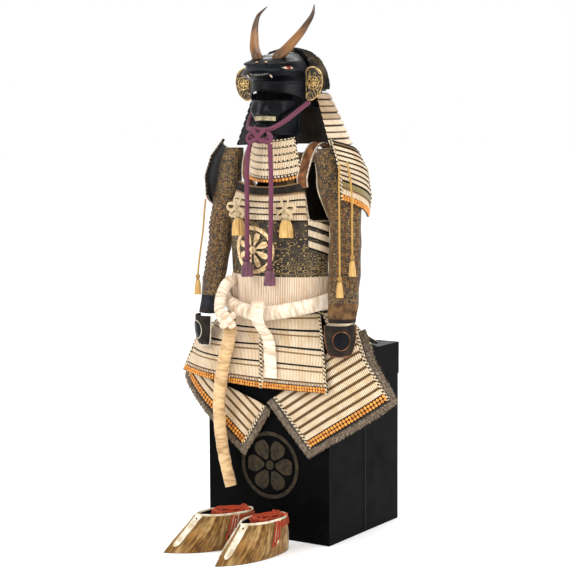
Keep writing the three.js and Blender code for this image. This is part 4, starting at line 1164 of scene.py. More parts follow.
def make_throat_guard():
    """The curved laced guard under the chin."""
    def point(angle, v):
        turn = math.radians(angle)
        rise = 14 * (angle / 58) ** 2 * (1 - 0.5 * v)
        return Vector((BODY_X + 9 + lerp(98, 74, v) * math.sin(turn),
                       lerp(-122, -134, v) - lerp(93, 84, v) * math.cos(turn), lerp(993, 1108, v) + rise))

    made = Piece("throat_guard_laced")
    rows = [(0, 2.6, -2.5, dark_leather), (0.085, 2.6, -2.5, scale_lacquer)]
    rows += banded(0.16, 1, [(0.72, cream, 1.5), (0.1, scale_lacquer, -0.2), (0.18, side_edge, 0.7)], 5)
    made.wall(point, spread(-58, 60, 36), rows, scale_lacquer, 180, 116)
    bead_row(made, point, [(u, 0.04) for u in spread(-57, 59, 16)], 3.4, 9, bead_silk)
    knot_row(made, point, [(u, 0.12) for u in spread(-57, 59, 16)], 3.4, 9, white_knot)
    for angle in (-57.2, 59.2):
        edge = [raised(point, angle, v, 3.0, 0.1, 1e-3) for v in spread(0, 1, 20)]
        made.roll(edge, 3.4, 1.4, side_edge, 8, aside=(edge[0] - point(0, 0)).normalized())
    made.build("throat_guard", "lacing")


NECK_GUARD = {"lames": 4, "top": (1236, 101, 139), "bottom": (1093, 152, 232), "front": 83, "y": -90}


def neck_point(angle, v):
    """The flare of the neck guard; v runs from its lower edge to its top."""
    z, wide, deep = (lerp(low, high, v) for low, high in zip(NECK_GUARD["bottom"], NECK_GUARD["top"]))
    return oval(angle, wide, deep, NECK_GUARD["y"], z)


def make_neck_guard():
    """Lames that widen downwards; each reaches a little below the top of the next."""
    columns = spread(NECK_GUARD["front"], 360 - NECK_GUARD["front"], 64)
    for lame in range(NECK_GUARD["lames"]):
        top = 1 - lame / NECK_GUARD["lames"]
        low = top - 1 / NECK_GUARD["lames"] - 0.012
        made = Piece(f"neck_guard_lame_{lame + 1}_laced")
        parts = [(0.1, gold_edge, 0.6), (0.72, cream if lame > 1 else tan, 1.4), (0.18, scale_lacquer, -0.2)]
        made.wall(neck_point, columns, banded(low, top, parts, 2, 2.6), scale_lacquer, 560, 150)
        made.build(f"neck_guard_lame_{lame + 1}", "lacing")


def make_straps():
    """The leather straps over the shoulders, piped in pale leather."""
    path = route([(0, -181, 980), (0, -184, 1005), (0, -172, 1030), (0, -152, 1064), (0, -126, 1090),
                  (0, -98, 1098),
                  (0, -66, 1088), (0, -36, 1066)], 40)

    for name, side in (("left", 1), ("right", -1)):
        def strap(x, v, side=side):
            at = clamp(v) * 40
            k = min(39, int(at))
            on = path[k].lerp(path[k + 1], at - k) if v <= 1 else path[40]
            inward = 8 * math.sin(math.pi * clamp(v)) + (42 if side < 0 else 6) * (1 - clamp(v)) ** 4
            return Vector((BODY_X + x - side * inward, on.y, on.z))

        middle = 113.5 if side > 0 else 101.5
        columns = [side * (middle + x) for x in (-16.5, -12.5, 0, 12.5, 16.5)]
        columns.sort()
        made = Piece(f"shoulder_strap_{name}_leather")
        rows = [(v, lambda u, _, middle=middle: 2.6 - 0.8 * (abs(abs(u) - middle) > 14), -2, strap_leather)
                for v in spread(0, 1, 30)]
        made.wall(strap, columns, rows, strap_leather, 34, 190)
        for x in (middle - 15.5, middle + 15.5):
            edge = [raised(strap, side * x, v, 2.2, 0.5, 0.01)
                    for v in spread(0.01, 0.99, 40)]
            made.roll(edge, 1.9, 1.6, pale_piping, 8, aside=(1, 0, 0))
        made.build(f"shoulder_strap_{name}", "strap")


make_thigh_guards()
make_shoulder_guards()
make_throat_guard()
make_neck_guard()
make_straps()

# ---- Sleeves and hand guards ----

ARM = [
    {"z": 1084, "left": 154, "right": 160, "y": -124, "wide": 32, "deep": 25},
    {"z": 1050, "left": 162, "right": 169, "y": -122, "wide": 44, "deep": 29},
    {"z": 990, "left": 178, "right": 181, "y": -120, "wide": 54, "deep": 31},
    {"z": 930, "left": 193, "right": 195, "y": -119, "wide": 51, "deep": 31},
    {"z": 885, "left": 205, "right": 205, "y": -120, "wide": 42, "deep": 31},
    {"z": 800, "left": 212, "right": 204, "y": -136, "wide": 43, "deep": 30},
    {"z": 720, "left": 223, "right": 206, "y": -160, "wide": 43, "deep": 28},
    {"z": 660, "left": 232, "right": 204, "y": -180, "wide": 40, "deep": 26},
    {"z": 622, "left": 238, "right": 202, "y": -194, "wide": 36, "deep": 24},
]
HAND_PLATE = {"angle": 4, "half_angle": 34, "v": 0.52, "half_v": 0.3, "lift": 3.4, "sides": 40}
HAND = {"top": 617, "bottom": 534, "left": 240, "right": 202, "y": -208, "wide": 40, "deep": 27}
ARM_TURN = 33


def arm_point(side, x, y, angle, z, wide, deep):
    """A point round an arm; angle 0 faces outwards to the front and 90 to the body's far side."""
    turn, face = math.radians(angle), math.radians(ARM_TURN)
    across, out = wide * math.sin(turn), deep * math.cos(turn)
    stands = x + across * math.cos(face) + out * math.sin(face)
    return Vector((BODY_X + (stands if side == "left" else -stands),
                   y + across * math.sin(face) - out * math.cos(face), z))


def sign_of(side):
    """1 for the wearer's left and -1 for the right."""
    return 1 if side == "left" else -1


def sleeve_of(side):
    """The surface of one sleeve, as a function of an angle and a height."""
    sign = sign_of(side)

    def sleeve(angle, z):
        at = table_at(ARM, "z", z)
        fold = (1.6 * wobble(angle * 0.02 * sign, z * 0.022, 3 * sign)
                + 1.1 * math.sin(z * 0.075 + angle * 0.02))
        return arm_point(side, at[side], at["y"], sign * angle, z, at["wide"] + fold, at["deep"] + fold)

    return sleeve


def make_sleeve(side, sleeve):
    """Both halves of a brocade sleeve, with the small plates down its outside."""
    heights = spread(622, 1084, 46)
    finishes = [brocade if z > 672 else (cuff_silk if side == "left" else navy) for z in heights]
    finishes = [dark_leather if z < 630 else kind for z, kind in zip(heights, finishes)]
    for half, first, last in (("outer", -89.4, 89.4), ("inner", 90.6, 269.4)):
        rows = [(z, 0.6, -2.2, kind) for z, kind in zip(heights, finishes)]
        made = Piece(f"sleeve_{side}_{half}_brocade")
        made.wall(sleeve, spread(first, last, 20), rows, lining, 130, 1)
        plates = Piece(f"sleeve_{side}_plates")
        if half == "outer":
            # Small plates held in the mail down the outside of the arm.
            for column, middle in enumerate((-52, -28, -4, 20, 44)):
                for z in spread(710, 948, 17):
                    low = z + (7 if column % 2 else 0)
                    angle = middle + 2 * wobble(z, column)
                    at = sleeve(angle, low)
                    normal = normal_at(sleeve, angle, low, 0.5, 0.5)
                    turn = framed(normal, (sleeve(angle + 1, low) - sleeve(angle - 1, low)).normalized())
                    plates.ball(at + normal * 1.6, (4.2, 1.3, 4.8), small_plate, 8, 4, turn)
        cloth = made.build(f"sleeve_{side}_{half}", "brocade")
        sewn_on = [plates.build(slot="brocade")] if plates.points else []


def make_facing(side, sleeve):
    """The pale silk facing that shows along the sleeve's front edge under the arm."""
    def facing(u, v):
        z = lerp(900, 1046, v)
        return sleeve(lerp(-108, -82, u), z) + Vector((0, -1.5, 0))

    trim = Piece(f"sleeve_{side}_facing").wall(
        facing, spread(0, 1, 6),
        [(v, 2.2 * math.sin(math.pi * v) + 0.6, -0.4, lining) for v in spread(0, 1, 14)], lining, 16, 150)
    trim.build(slot="brocade")


def make_hand_guard(side):
    """A padded leather guard over the back of the hand, with a lacquered plate on it."""
    sign = sign_of(side)

    def hand(angle, v):
        taper = math.sqrt(1 - 0.62 * (1 - v) ** 3)
        return arm_point(side, HAND[side], HAND["y"], sign * angle, lerp(HAND["bottom"], HAND["top"], v),
                         HAND["wide"] * taper, HAND["deep"] * taper)

    def padded_back(angle, v):
        finger = 1.1 * abs(math.sin(math.radians(angle) * 4)) * smooth((0.5 - v) * 3)
        return 1.0 + 1.6 * math.sin(math.pi * clamp(v)) * math.cos(math.radians(angle)) + finger

    glove = Piece(f"hand_guard_{side}_leather")
    # Painted shade: the wearer's left hand guard is bound in the darker russet leather where the right has
    # pale piping.
    binding = pale_piping if side == "right" else strap_leather
    rows = [(v, padded_back, -2.5, dark_leather) for v in spread(0, 1, 22)]
    glove.wall(hand, spread(-88, 88, 30), rows, navy, 120, 83)
    for angle in (-87, 87):
        edge = [raised(hand, angle, v, 1.6, 0.4, 0.01) for v in spread(0, 1, 20)]
        glove.roll(edge, 2.2, 1.6, binding, 8, aside=(1, 0, 0))
    bottom = [hand(a, 0.0) + normal_at(hand, a, 0.01, 0.4, 0.01) * 1.4 for a in spread(-87, 87, 30)]
    glove.roll(bottom, 2.0, 1.6, binding, 8, aside=(0, 0, 1))
    # A lacquered plate over the back of the hand, edged in the pale piping, which is painted darker on the
    # wearer's left as painted shade.
    sides, lift = HAND_PLATE["sides"], HAND_PLATE["lift"]

    def plate_place(k, part):
        turn = math.tau * k / sides
        return (HAND_PLATE["angle"] + HAND_PLATE["half_angle"] * part * math.cos(turn),
                HAND_PLATE["v"] + HAND_PLATE["half_v"] * part * math.sin(turn))

    ring = []
    for k in range(sides + 1):
        angle, v = plate_place(k, 1)
        ring.append(raised(hand, angle, v, lift + 0.6, 0.4, 0.01))
    glove.roll(ring, 1.3, 1.3, binding, 8, ends=False)
    inside = []
    for part in (1.0, 0.66, 0.33, 0.02):
        outwards = normal_at(hand, HAND_PLATE["angle"], HAND_PLATE["v"], 0.4, 0.01)
        domed = outwards * (lift + 1.8 * (1 - part ** 2))
        inside.append([hand(*plate_place(k, part)) + domed for k in range(sides)])
    flat = [[(k, i * 6) for k in range(sides + 1)] for i in range(4)]
    glove.grid(inside, flat, lacquer, closed=True, turned=sign < 0)
    glove.build(f"hand_guard_{side}", "leather")


# ---- Sash ----

SASH = {"radius": 20, "side_radius": 11, "wide": 175, "deep": 137, "front": 637, "back": 712}


def make_sash():
    """A padded silk roll round the waist, tied with hanging ends; its creases run across it."""
    def crease(t, turn, seed):
        return (1 + 0.07 * wobble(t * 44 + seed, turn * 0.7, seed)
                + 0.05 * wobble(t * 15 + seed, turn * 1.6, 4))

    def padded_roll(name, line, across, along, finish, aside, seed, sides=28, ends=True):
        """A roll whose skin has uneven creases across it."""
        made = Piece(name).roll(line, across, along, finish, sides, aside, ends)
        count = len(line)
        for i in range(count):
            for k in range(sides):
                p = made.points[i * sides + k]
                grow = crease(i / (count - 1), math.tau * k / sides, seed)
                made.points[i * sides + k] = line[i] + (p - line[i]) * min(grow, 1.08)
        if ends:
            made.points[count * sides:] = made.points[:sides] + made.points[(count - 1) * sides:count * sides]
        return made

    ring = []
    for angle in spread(0, 360, 260)[:-1]:
        rise = (1 - math.cos(math.radians(angle))) / 2
        height = lerp(SASH["front"], SASH["back"], rise ** 0.7)
        ring.append(oval(angle, SASH["wide"], SASH["deep"], TORSO_Y, height))
    ring.append(ring[0])

    def along(t):
        return lerp(SASH["radius"], SASH["side_radius"], math.sin(math.tau * t) ** 2)

    belt = padded_roll("sash_belt_silk", ring, SASH["radius"], along, ivory, (0, 0, 1), 0, 28, False)
    belt.build("sash_belt", "sash", sharp=80)

    rolls = [
        ("sash_loop", ivory, (0, 1, 0), lambda t: 11, lambda t: 17, 40, 2,
         [(-111, -204, 724), (-124, -224, 702), (-126, -244, 672), (-115, -264, 642), (-98, -276, 624),
          (-76, -282, 612)]),
        ("sash_end_long", straw, (1, 0, 0), lambda t: 19 - 2 * t, lambda t: 17 - 2 * t, 150, 5,
         [(-84, -258, 592), (-98, -244, 560), (-120, -237, 500), (-134, -236, 430), (-140, -236, 370),
          (-134, -236, 280), (-118, -236, 200), (-101, -236, 142)]),
        ("sash_end_short", ivory, (1, 0, 0), lambda t: 20, lambda t: 5, 60, 8,
         [(24, -279, 676), (24, -285, 640), (24, -276, 612), (24, -250, 588), (24, -230, 562),
          (25, -224, 510),
          (26, -222, 458)]),
    ]
    for node, silk, aside, wide, deep, count, seed, points in rolls:
        made = padded_roll(node + "_silk", route(on_body(points), count), wide, deep, silk, aside, seed)
        silk_piece = made.build(node, "sash", sharp=80)

    # The knot over the wearer's right hip: two turns of the sash round each other.
    knot = Piece("sash_knot_silk")
    for points, size in (
            ([(-112, -252, 628), (-92, -280, 634), (-70, -284, 618), (-62, -276, 598)], 13),
            ([(-104, -268, 600), (-84, -284, 604), (-68, -286, 618), (-60, -270, 634)], 11)):
        knot.roll(route(on_body(points), 20), lambda t, r=size: r * (0.8 + 0.25 * math.sin(math.pi * t)),
                  lambda t, r=size: r * 0.8, ivory, 16)
    knot.build(slot="sash", sharp=80)


# ---- Bows, chin cord and its knot ----


def make_bows():
    """A flat bow of doubled cord on each breast, with a wide tassel."""
    for name, x in (("left", 78), ("right", -78)):
        y = -224
        made = Piece(f"breast_bow_{name}")
        loops = [
            [(0, 926), (-14, 934), (-30, 932), (-34, 922), (-22, 916), (-4, 922)],
            [(0, 926), (14, 934), (30, 932), (34, 922), (22, 916), (4, 922)],
            [(-4, 930), (-10, 944), (-2, 954), (10, 950), (8, 936), (2, 928)],
            [(0, 924), (-16, 914), (-24, 904), (-14, 900), (-2, 914)],
            [(0, 924), (16, 914), (24, 904), (14, 900), (2, 914)],
        ]
        for k, loop in enumerate(loops):
            for offset in (-1.9, 1.9):
                line = route(on_body([(x + px + offset * 0.5, y - 2 - (i % 3) * 1.3 - k * 0.6, z + offset)
                                      for i, (px, z) in enumerate(loop)]), 22)
                made.roll(line, 2.4, 2.2, bow_silk, 8)
        made.ball(on_body([(x, y - 5, 925)])[0], (8, 6, 7), bow_silk, 12, 8)
        tassel(made, on_body([(x + 2, -225, 912)])[0], 68, 20, bow_silk, yellow_threads)
        made.build(f"breast_tassel_{name}", "yellow_silk")


def make_chin_cord():
    """The helmet's thick braided cord under the chin, tied in a knot of loops."""
    band = route(on_body([(96, -132, 1210), (86, -164, 1190), (68, -200, 1163), (46, -228, 1143),
                          (28, -238, 1136),
                          (10, -240, 1136), (-10, -238, 1138), (-32, -228, 1138), (-56, -202, 1141),
                          (-76, -168, 1160), (-84, -134, 1188)]), 90)
    Piece("chin_band_braid").roll(band, 6.5, 6.5, purple, 14).build("chin_cord_band", "purple_silk")
    ring = on_body([(11 + 30 * math.cos(math.radians(a)), -244, 1124 - 19 * math.sin(math.radians(a)))
                    for a in spread(-6, 186, 30)])
    made = Piece("chin_knot_braid").roll(ring, 6.3, 6.3, purple, 14)
    loops = [
        [(-14, -246, 1130), (-26, -248, 1118), (-24, -250, 1106), (-12, -252, 1104), (-2, -250, 1112)],
        [(36, -246, 1130), (48, -248, 1118), (46, -250, 1106), (34, -252, 1104), (24, -250, 1112)],
        [(-8, -250, 1136), (2, -255, 1126), (12, -257, 1116), (22, -255, 1108), (38, -250, 1104)],
        [(30, -250, 1136), (20, -255, 1126), (10, -257, 1116), (0, -255, 1108), (-16, -250, 1104)],
    ]
    for loop in loops:
        made.roll(route(on_body(loop), 24), 5.8, 5.8, purple, 12)
    made.build("chin_cord_knot", "purple_silk")


for side in ("left", "right"):
    sleeve = sleeve_of(side)
    make_sleeve(side, sleeve)
    make_facing(side, sleeve)
    make_hand_guard(side)
make_sash()
make_bows()
make_chin_cord()

# ---- Helmet ----

BOWL = {"rim": 1240, "height": 110, "wide": 94, "deep": 122, "y": -82}
BEAST = {"low": 1269, "high": 1340, "half": 62}


def bowl_point(angle, v):
    """The bowl's surface; v runs from the rim at 0 to the crown at 1."""
    turn = math.radians(90 * clamp(v, -0.2, 1))
    reach = max(0.0, math.cos(turn)) ** 0.75
    rise = math.copysign(abs(math.sin(turn)) ** 0.9, turn)
    height = BOWL["rim"] + BOWL["height"] * rise
    return oval(angle, BOWL["wide"] * reach, BOWL["deep"] * reach, BOWL["y"], height)


def bowl_reach(z):
    """The bowl's share of its full width at a height."""
    turn = math.asin(clamp((z - BOWL["rim"]) / BOWL["height"], 0, 1) ** (1 / 0.9))
    return math.cos(turn) ** 0.75


def beast_relief(angle, z):
    """The carved beast: a square muzzle, heavy brows over long eyes, a lip and a wrinkled nose."""
    side = abs(angle)
    box = 1 / (1 + ((z - 1303) / 29) ** 6)
    across = 1 / (1 + (side / 50) ** 8)
    skull = 7 + 33 * box * across + 5 * hump(angle, 14) * hump(z - 1300, 14)
    brow = 9 * hump(side - 34, 15) * hump(z - 1313 - 0.22 * (side - 20), 5.5)
    brow += 14 * hump(side - 24, 10) * hump(z - 1334, 10)
    cheek = -7 * hump(side - 38, 8) * hump(z - 1302, 6)
    lid = 2.6 * hump(z - 1313 + 0.10 * (side - 30), 1.8) * hump(side - 36, 12)
    pouch = 2.0 * hump(z - 1292 - 0.12 * (side - 30), 1.8) * hump(side - 37, 11)
    nose = 3.5 * hump(side - 8, 5) * hump(z - 1314, 5) - 4 * hump(side - 9, 2.6) * hump(z - 1309.5, 2.2)
    lip = 3.2 * hump(z - 1297 + 2.4 * hump(side - 17, 7), 2.6) * hump(angle, 34)
    mouth = -3.4 * hump(z - 1290.5 + 2.4 * hump(side - 17, 7), 2.0) * hump(angle, 34)
    gum = 2.0 * hump(z - 1283, 1.8) * hump(angle, 30)
    wrinkles = 1.1 * math.sin(z * 0.85 + side * 0.3) * hump(side - 15, 8) * hump(z - 1322, 8)
    crown = 2.4 * hump(z - 1337, 2.2) * hump(angle, 26)
    return skull + brow + cheek + lid + pouch + nose + lip + mouth + gum + wrinkles + crown


def beast_point(angle, z):
    """The beast's skin; the second place is a height."""
    out = beast_relief(angle, z)
    reach = bowl_reach(z)
    return oval(angle, BOWL["wide"] * reach + out, BOWL["deep"] * reach + out, BOWL["y"], z)


def peak_point(angle, v):
    """The peak; v runs from its lower edge to its top."""
    low = oval(angle, 98, 127, BOWL["y"], 1243 - 31 * (angle / 70) ** 2)
    return low.lerp(oval(angle, 96, 124.5, BOWL["y"], 1268), v)


def on_beast(angle, z, lift):
    """A point on the beast's skin at a height, and its outward normal."""
    normal = normal_at(beast_point, angle, z, 0.6, 0.6)
    return beast_point(angle, z) + normal * lift, normal


def rhombus(piece, middle, size, finish, turn):
    """A low cushion with a pointed-oval outline, long across."""
    rings = []
    for tilt in spread(-90, 90, 9):
        flat, deep = math.cos(math.radians(tilt)), math.sin(math.radians(tilt))
        ring = []
        for k in range(24):
            at = math.tau * k / 24
            high = math.copysign(abs(math.sin(at)) ** 1.5, math.sin(at))
            ring.append(middle + turn @ Vector((size[0] * math.cos(at) * flat, size[1] * deep,
                                                size[2] * high * flat)))
        rings.append(ring)
    piece.grid(rings, [[(k, row * 4) for k in range(25)] for row in range(len(rings))], finish, closed=True)


HORN = [(28, -185, 1321), (34, -190, 1333), (45, -180, 1345), (56, -170, 1360), (67, -154, 1380),
        (77, -138, 1400), (84, -124, 1420), (89, -108, 1440), (88, -96, 1455), (78, -74, 1475)]
# The plate's edge in X and Z: each row is an arc's start, its pull and its end.
TURN_BACK = {"middle": (114, 1262), "edge": (
    ((91, 1296), (98, 1305), (112, 1304)), ((112, 1304), (140, 1299), (141, 1269)),
    ((141, 1269), (140, 1229), (109, 1217)), ((109, 1217), (96, 1213), (91, 1222)),
    ((91, 1222), (91, 1259), (91, 1296)))}


def make_bowl():
    """The lacquered bowl under the carvings."""
    around = spread(0, 360, 64)[:-1]
    bowl = Piece("helmet_bowl_lacquer")
    bowl.wall(bowl_point, around, [(v, 0.4, -3, lacquer) for v in spread(0, 0.985, 16)],
              lacquer, 700, 150, True)
    bowl.ball((BODY_X, BOWL["y"], 1349), (12, 14, 3), lacquer, 16, 6)
    bowl.build("helmet_bowl", "lacquer")


def make_mane():
    """Carved locks that swirl back over the bowl."""
    def locks(angle, v):
        wave = angle * 0.56 + 1.5 * math.sin(v * 13 + angle * 0.05) + 0.8 * math.sin(v * 29)
        swirl = 1 - abs(math.sin(wave))
        curl = 1 - abs(math.sin(v * 15 + 2.2 * math.sin(angle * 0.16)))
        return 5.4 + 4.4 * swirl ** 0.7 + 2.0 * curl ** 2 + 0.8 * wobble(angle * 0.2, v * 9)

    mane = Piece("helmet_mane_locks")
    heights = spread(0.02, 0.97, 52)
    mane.wall(bowl_point, spread(76, 284, 190), [(v, locks, 1, mane_lacquer) for v in heights],
              lacquer, 420, 170)
    mane.ball((BODY_X, BOWL["y"] + 4, 1351), (26, 34, 7), mane_lacquer, 20, 8)
    mane.build("helmet_mane", "lacquer")


def make_beast():
    """The beast's head on the bowl's front, with its eyes, nostrils, fangs and teeth."""
    beast = Piece("helmet_beast_carving")
    levels = [(z, 0, -2.2, lacquer) for z in spread(BEAST["low"], BEAST["high"], 84)]
    beast.wall(beast_point, spread(-BEAST["half"], BEAST["half"], 160), levels, lacquer, 230, 1)
    for side in (1, -1):
        # Each eye is a long rhombus: a grey surround, a white field, a red iris and a dark slit.
        for lift, size, finish in ((-0.6, (20, 2.6, 9.0), eye_rim), (0.6, (14.5, 2.6, 6.2), eye_white),
                                   (1.8, (9.0, 2.2, 5.6), eye_red), (3.4, (1.5, 1.5, 4.6), lacquer)):
            middle, normal = on_beast(side * 37, 1302, lift)
            turn = framed(normal, Vector((1, 0.35 * side, 0.30 * side)).normalized())
            rhombus(beast, middle, size, finish, turn)
        middle, normal = on_beast(side * 7.5, 1317.5, 0.8)
        beast.ball(middle, (4.4, 1.6, 2.6), gold, 12, 6, framed(normal, Vector((1, 0, 0))))
        middle, normal = on_beast(side * 17, 1281, 1.4)
        beast.ball(middle, (2.6, 2.2, 7.4), eye_white, 10, 8, framed(normal, Vector((1, 0, 0))))
    for angle in spread(-13, 13, 13):
        middle, normal = on_beast(angle, 1283.5 + 0.018 * angle ** 2, 0.6)
        beast.ball(middle, (1.7, 1.3, 2.0), eye_rim, 8, 6, framed(normal, Vector((1, 0, 0))))
    beast.build("helmet_beast_face", "lacquer")


def make_peak():
    """The peak, its upper edge raised in scallops."""
    def scallop(angle, v):
        edge = 0.70 + 0.16 * abs(math.sin(math.radians(angle * 2.7 + 90)))
        return 0.5 + 1.4 * smooth((v - edge) * 14)

    peak = Piece("helmet_peak_lacquer")
    peak.wall(peak_point, spread(-66, 66, 90), [(v, scallop, -3, lacquer) for v in spread(0, 1, 24)],
              lacquer, 250, 44)
    edge = [peak_point(a, 0) + Vector((0, 0, 0.5)) for a in spread(-66, 66, 60)]
    peak.roll(edge, 2.0, 2.0, lacquer, 8)
    peak.build("helmet_peak", "lacquer")


def make_lining():
    """Black hemp cloth that hangs inside the helmet."""
    def lining_point(angle, v):
        return oval(angle, 86 - 3 * v, 108 - 4 * v, BOWL["y"], lerp(1196, 1246, v))

    cloth = Piece("helmet_lining_cloth")
    cloth.wall(lining_point, spread(46, 314, 66),
               [(v, 0.6 + 1.2 * (v < 0.1), -1.2, head_cloth) for v in spread(0, 1, 8)], head_cloth, 420, 50)
    cloth.build(slot="lacquer")


def make_horn(name, side):
    """A gilded horn that grows out of the brow."""
    line = route(on_body([(side * x, y, z) for x, y, z in HORN]), 60)
    horn = Piece(f"horn_{name}_gilded")
    horn.roll(line, lambda t: lerp(15, 1.2, t ** 1.8), lambda t: lerp(13.5, 1.1, t ** 1.8),
              horn_finish, 24, (1, 0, 0))
    horn.build(f"horn_{name}", "horn")


def make_turn_back(name, side):
    """A plate beside the face, printed as the cuirass is, with a gilt ring and rosette."""
    outline = []
    for start, bend, end in TURN_BACK["edge"]:
        for t in spread(0, 1, 9)[:-1]:
            a, b, c = (1 - t) ** 2, 2 * t * (1 - t), t * t
            outline.append((a * start[0] + b * bend[0] + c * end[0],
                            a * start[1] + b * bend[1] + c * end[1]))
    middle, shares = TURN_BACK["middle"], (1, 0.7, 0.4, 0.02)
    flat = [[(k * 4, part * 22) for k in range(len(outline) + 1)] for part in shares]
    plate = Piece(f"turn_back_{name}_plate")
    for y, turned in ((-138.2, side < 0), (-133.8, side > 0)):
        crown = 1.2 if y < -136 else 0
        rings = [on_body([(side * lerp(middle[0], x, part), y - crown * (1 - part ** 2),
                           lerp(middle[1], z, part)) for x, z in outline]) for part in shares]
        plate.grid(rings, flat, gilt_leather, closed=True, turned=not turned)
    rim = on_body([(side * x, -136, z) for x, z in outline + outline[:1]])
    plate.roll(rim, 2.6, 2.4, gold, 8, (0, 1, 0), ends=False)
    ring = on_body([(side * (114 + 17 * math.cos(math.tau * k / 36)), -139.6,
                     1262 + 17 * math.sin(math.tau * k / 36)) for k in range(37)])
    plate.roll(ring, 1.9, 1.7, gold, 8, (0, 1, 0), ends=False)
    hub = on_body([(side * 114, -139.6, 1262)])[0]
    plate.ball(hub, (5, 2.4, 5), gold, 16, 6)
    for k in range(8):
        turn = math.tau * k / 8
        petal = Matrix.Rotation(-turn, 3, "Y")
        at = hub + Vector((9.6 * math.cos(turn), 0.3, 9.6 * math.sin(turn)))
        plate.ball(at, (4.6, 1.7, 2.6), gold, 10, 5, petal)
    plate.build(f"turn_back_{name}", "lacquer")


# ---- Face mask ----


def make_mask():
    """A calm half mask on plain proportions: nose, cheeks, a closed mouth and a chin."""
    def place(angle, v):
        wide = 62 + 10 * math.sin(math.pi * clamp(v + 0.1, 0, 1) * 0.5)
        return oval(angle, wide, 80 + 6 * v, -125, lerp(1121, 1216, v))

    def relief(angle, v):
        side = abs(angle)
        nose = 23 * hump(angle, 9 + 4 * (1 - v)) * clamp((1.06 - v) * 2.2) * smooth((v - 0.52) * 8)
        wings = 5 * hump(side - 12, 5) * hump(v - 0.62, 0.05)
        chin = 9 * hump(angle, 22) * hump(v - 0.12, 0.15)
        cheeks = 7 * hump(side - 40, 15) * hump(v - 0.72, 0.18)
        lips = 3.2 * hump(angle, 17) * (hump(v - 0.40, 0.035) + hump(v - 0.31, 0.035))
        mouth = -3.5 * hump(angle, 17) * hump(v - 0.355, 0.018)
        rim = 2.2 * (hump(v - 0.985, 0.02) + hump(v - 0.015, 0.02) + hump(side - 82, 2.5))
        return 2 + nose + wings + chin + cheeks + lips + mouth + rim

    mask = Piece("face_mask_lacquer")
    mask.wall(place, spread(-84, 84, 130), [(v, relief, -3, lacquer) for v in spread(0, 1, 80)],
              lacquer, 250, 100)
    # A brushed moustache of pale hair fills the gap between the upper lip and the nose.
    lip_top, nose_base, hairs = 0.445, 0.545, 9
    for side in (1, -1):
        for v in spread(lip_top, nose_base, hairs - 1):
            line = [place(side * a, v - 0.010 * (a / 12) ** 1.2) + normal_at(place, side * a, v, 0.5, 0.01)
                    * (relief(side * a, v) + 1.6) for a in spread(0.4, 27, 12)]
            mask.roll(line, lambda t: 1.9 * (1 - 0.45 * t), lambda t: 1.8 * (1 - 0.45 * t), moustache, 6)
    mask.build("face_mask", "lacquer")


# ---- Boots ----

BOOT = {"length": 272, "half_width": 50, "height": 94, "opening": 176}
BOOTS = [{"name": "left", "heel": (100, -252), "toe": (52, -514)},
         {"name": "right", "heel": (-6, -250), "toe": (-150, -486)}]


def boot_of(row):
    """One boot's heel, its two directions on the floor, and its surface."""
    heel = Vector((*row["heel"], 0))
    ahead = (Vector((*row["toe"], 0)) - heel).normalized()
    aside = Vector((-ahead.y, ahead.x, 0))

    def skin(angle, t):
        """t runs from the sole at 0 to the opening at 1; angle 0 is the toe."""
        turn = math.radians(angle)
        along = math.cos(turn)
        narrow = max(0.0, 1 - along ** 2.4) ** 0.95 if along > 0 else math.sqrt(1 - along ** 2)
        run = lerp(lerp(0, 8, t), lerp(BOOT["length"], BOOT["opening"], t), (along + 1) / 2)
        wide = lerp(BOOT["half_width"], 39, t) * (1 + 0.1 * math.sin(math.pi * clamp(t)))
        out = wide * narrow * math.copysign(1, math.sin(turn))
        return heel + ahead * run + aside * out + Vector((0, 0, BOOT["height"] * t))

    return heel, ahead, aside, skin


def make_boot_hide(row, heel, ahead, skin):
    """The fur shell, its sole and its insole."""
    def plump(angle, t):
        return (0.6 + 1.6 * wobble(angle * 0.035, t * 2.4, 5)) * smooth(t * 8)

    around = spread(0, 360, 72)[:-1]
    made = Piece(f"boot_{row['name']}_hide")
    rows = [(t, plump, -3.4, bear_hide) for t in spread(0.008, 1, 16)]
    made.wall(skin, around, rows, navy, 640, 94, closed=True)
    sole = [skin(a, 0) + Vector((0, 0, 0.3)) for a in around]
    middle = heel + ahead * 110 + Vector((0, 0, 0.2))
    around_flat = [[(k * 9, 0) for k in range(73)]] * 2
    made.grid([sole, [p.lerp(middle, 0.99) for p in sole]], around_flat, bear_skin, True, True)
    inside = [p.lerp(middle, 0.03) + Vector((0, 0, 4)) for p in sole]
    made.grid([inside, [p.lerp(middle + Vector((0, 0, 4)), 0.99) for p in inside]],
              [[(k * 9, 0) for k in range(73)]] * 2, navy, True)
    made.build(f"boot_{row['name']}", "bear_fur")


def make_boot_trim(row, skin):
    """The white rim, and a buckskin strap over each seam at the instep and the ankle."""
    trim = Piece(f"boot_{row['name']}_trim")
    rim = [skin(a, 1.0) + Vector((0, 0, 0.5)) for a in spread(0, 360, 72)]
    trim.roll(rim, 3.4, 3.0, white_leather, 10, (0, 0, 1), ends=False)
    # Straps of white buckskin over the seams at the instep and the ankle.
    for angle, low, wide in ((26, 0.16, 9), (-26, 0.16, 9), (104, 0.36, 8), (-104, 0.36, 8)):
        def strap(u, t, angle=angle, low=low, wide=wide):
            tip = min(1.0, (t - low) / 0.1 + 0.25)
            step = u * wide * tip / 0.9
            at = skin(angle, t)
            across = (skin(angle + 3, t) - skin(angle - 3, t)).normalized()
            return at + across * step

        trim.wall(strap, spread(-1, 1, 4), [(t, 3.0, 1.0, white_leather) for t in spread(low, 0.99, 14)],
                  white_leather, 22, 80)
        hole = raised(strap, 0, 0.9, 3.0, 0.1, 0.01)
        trim.ball(hole, (2.4, 2.4, 2.4), navy, 8, 6)
    trim.build(slot="bear_fur")


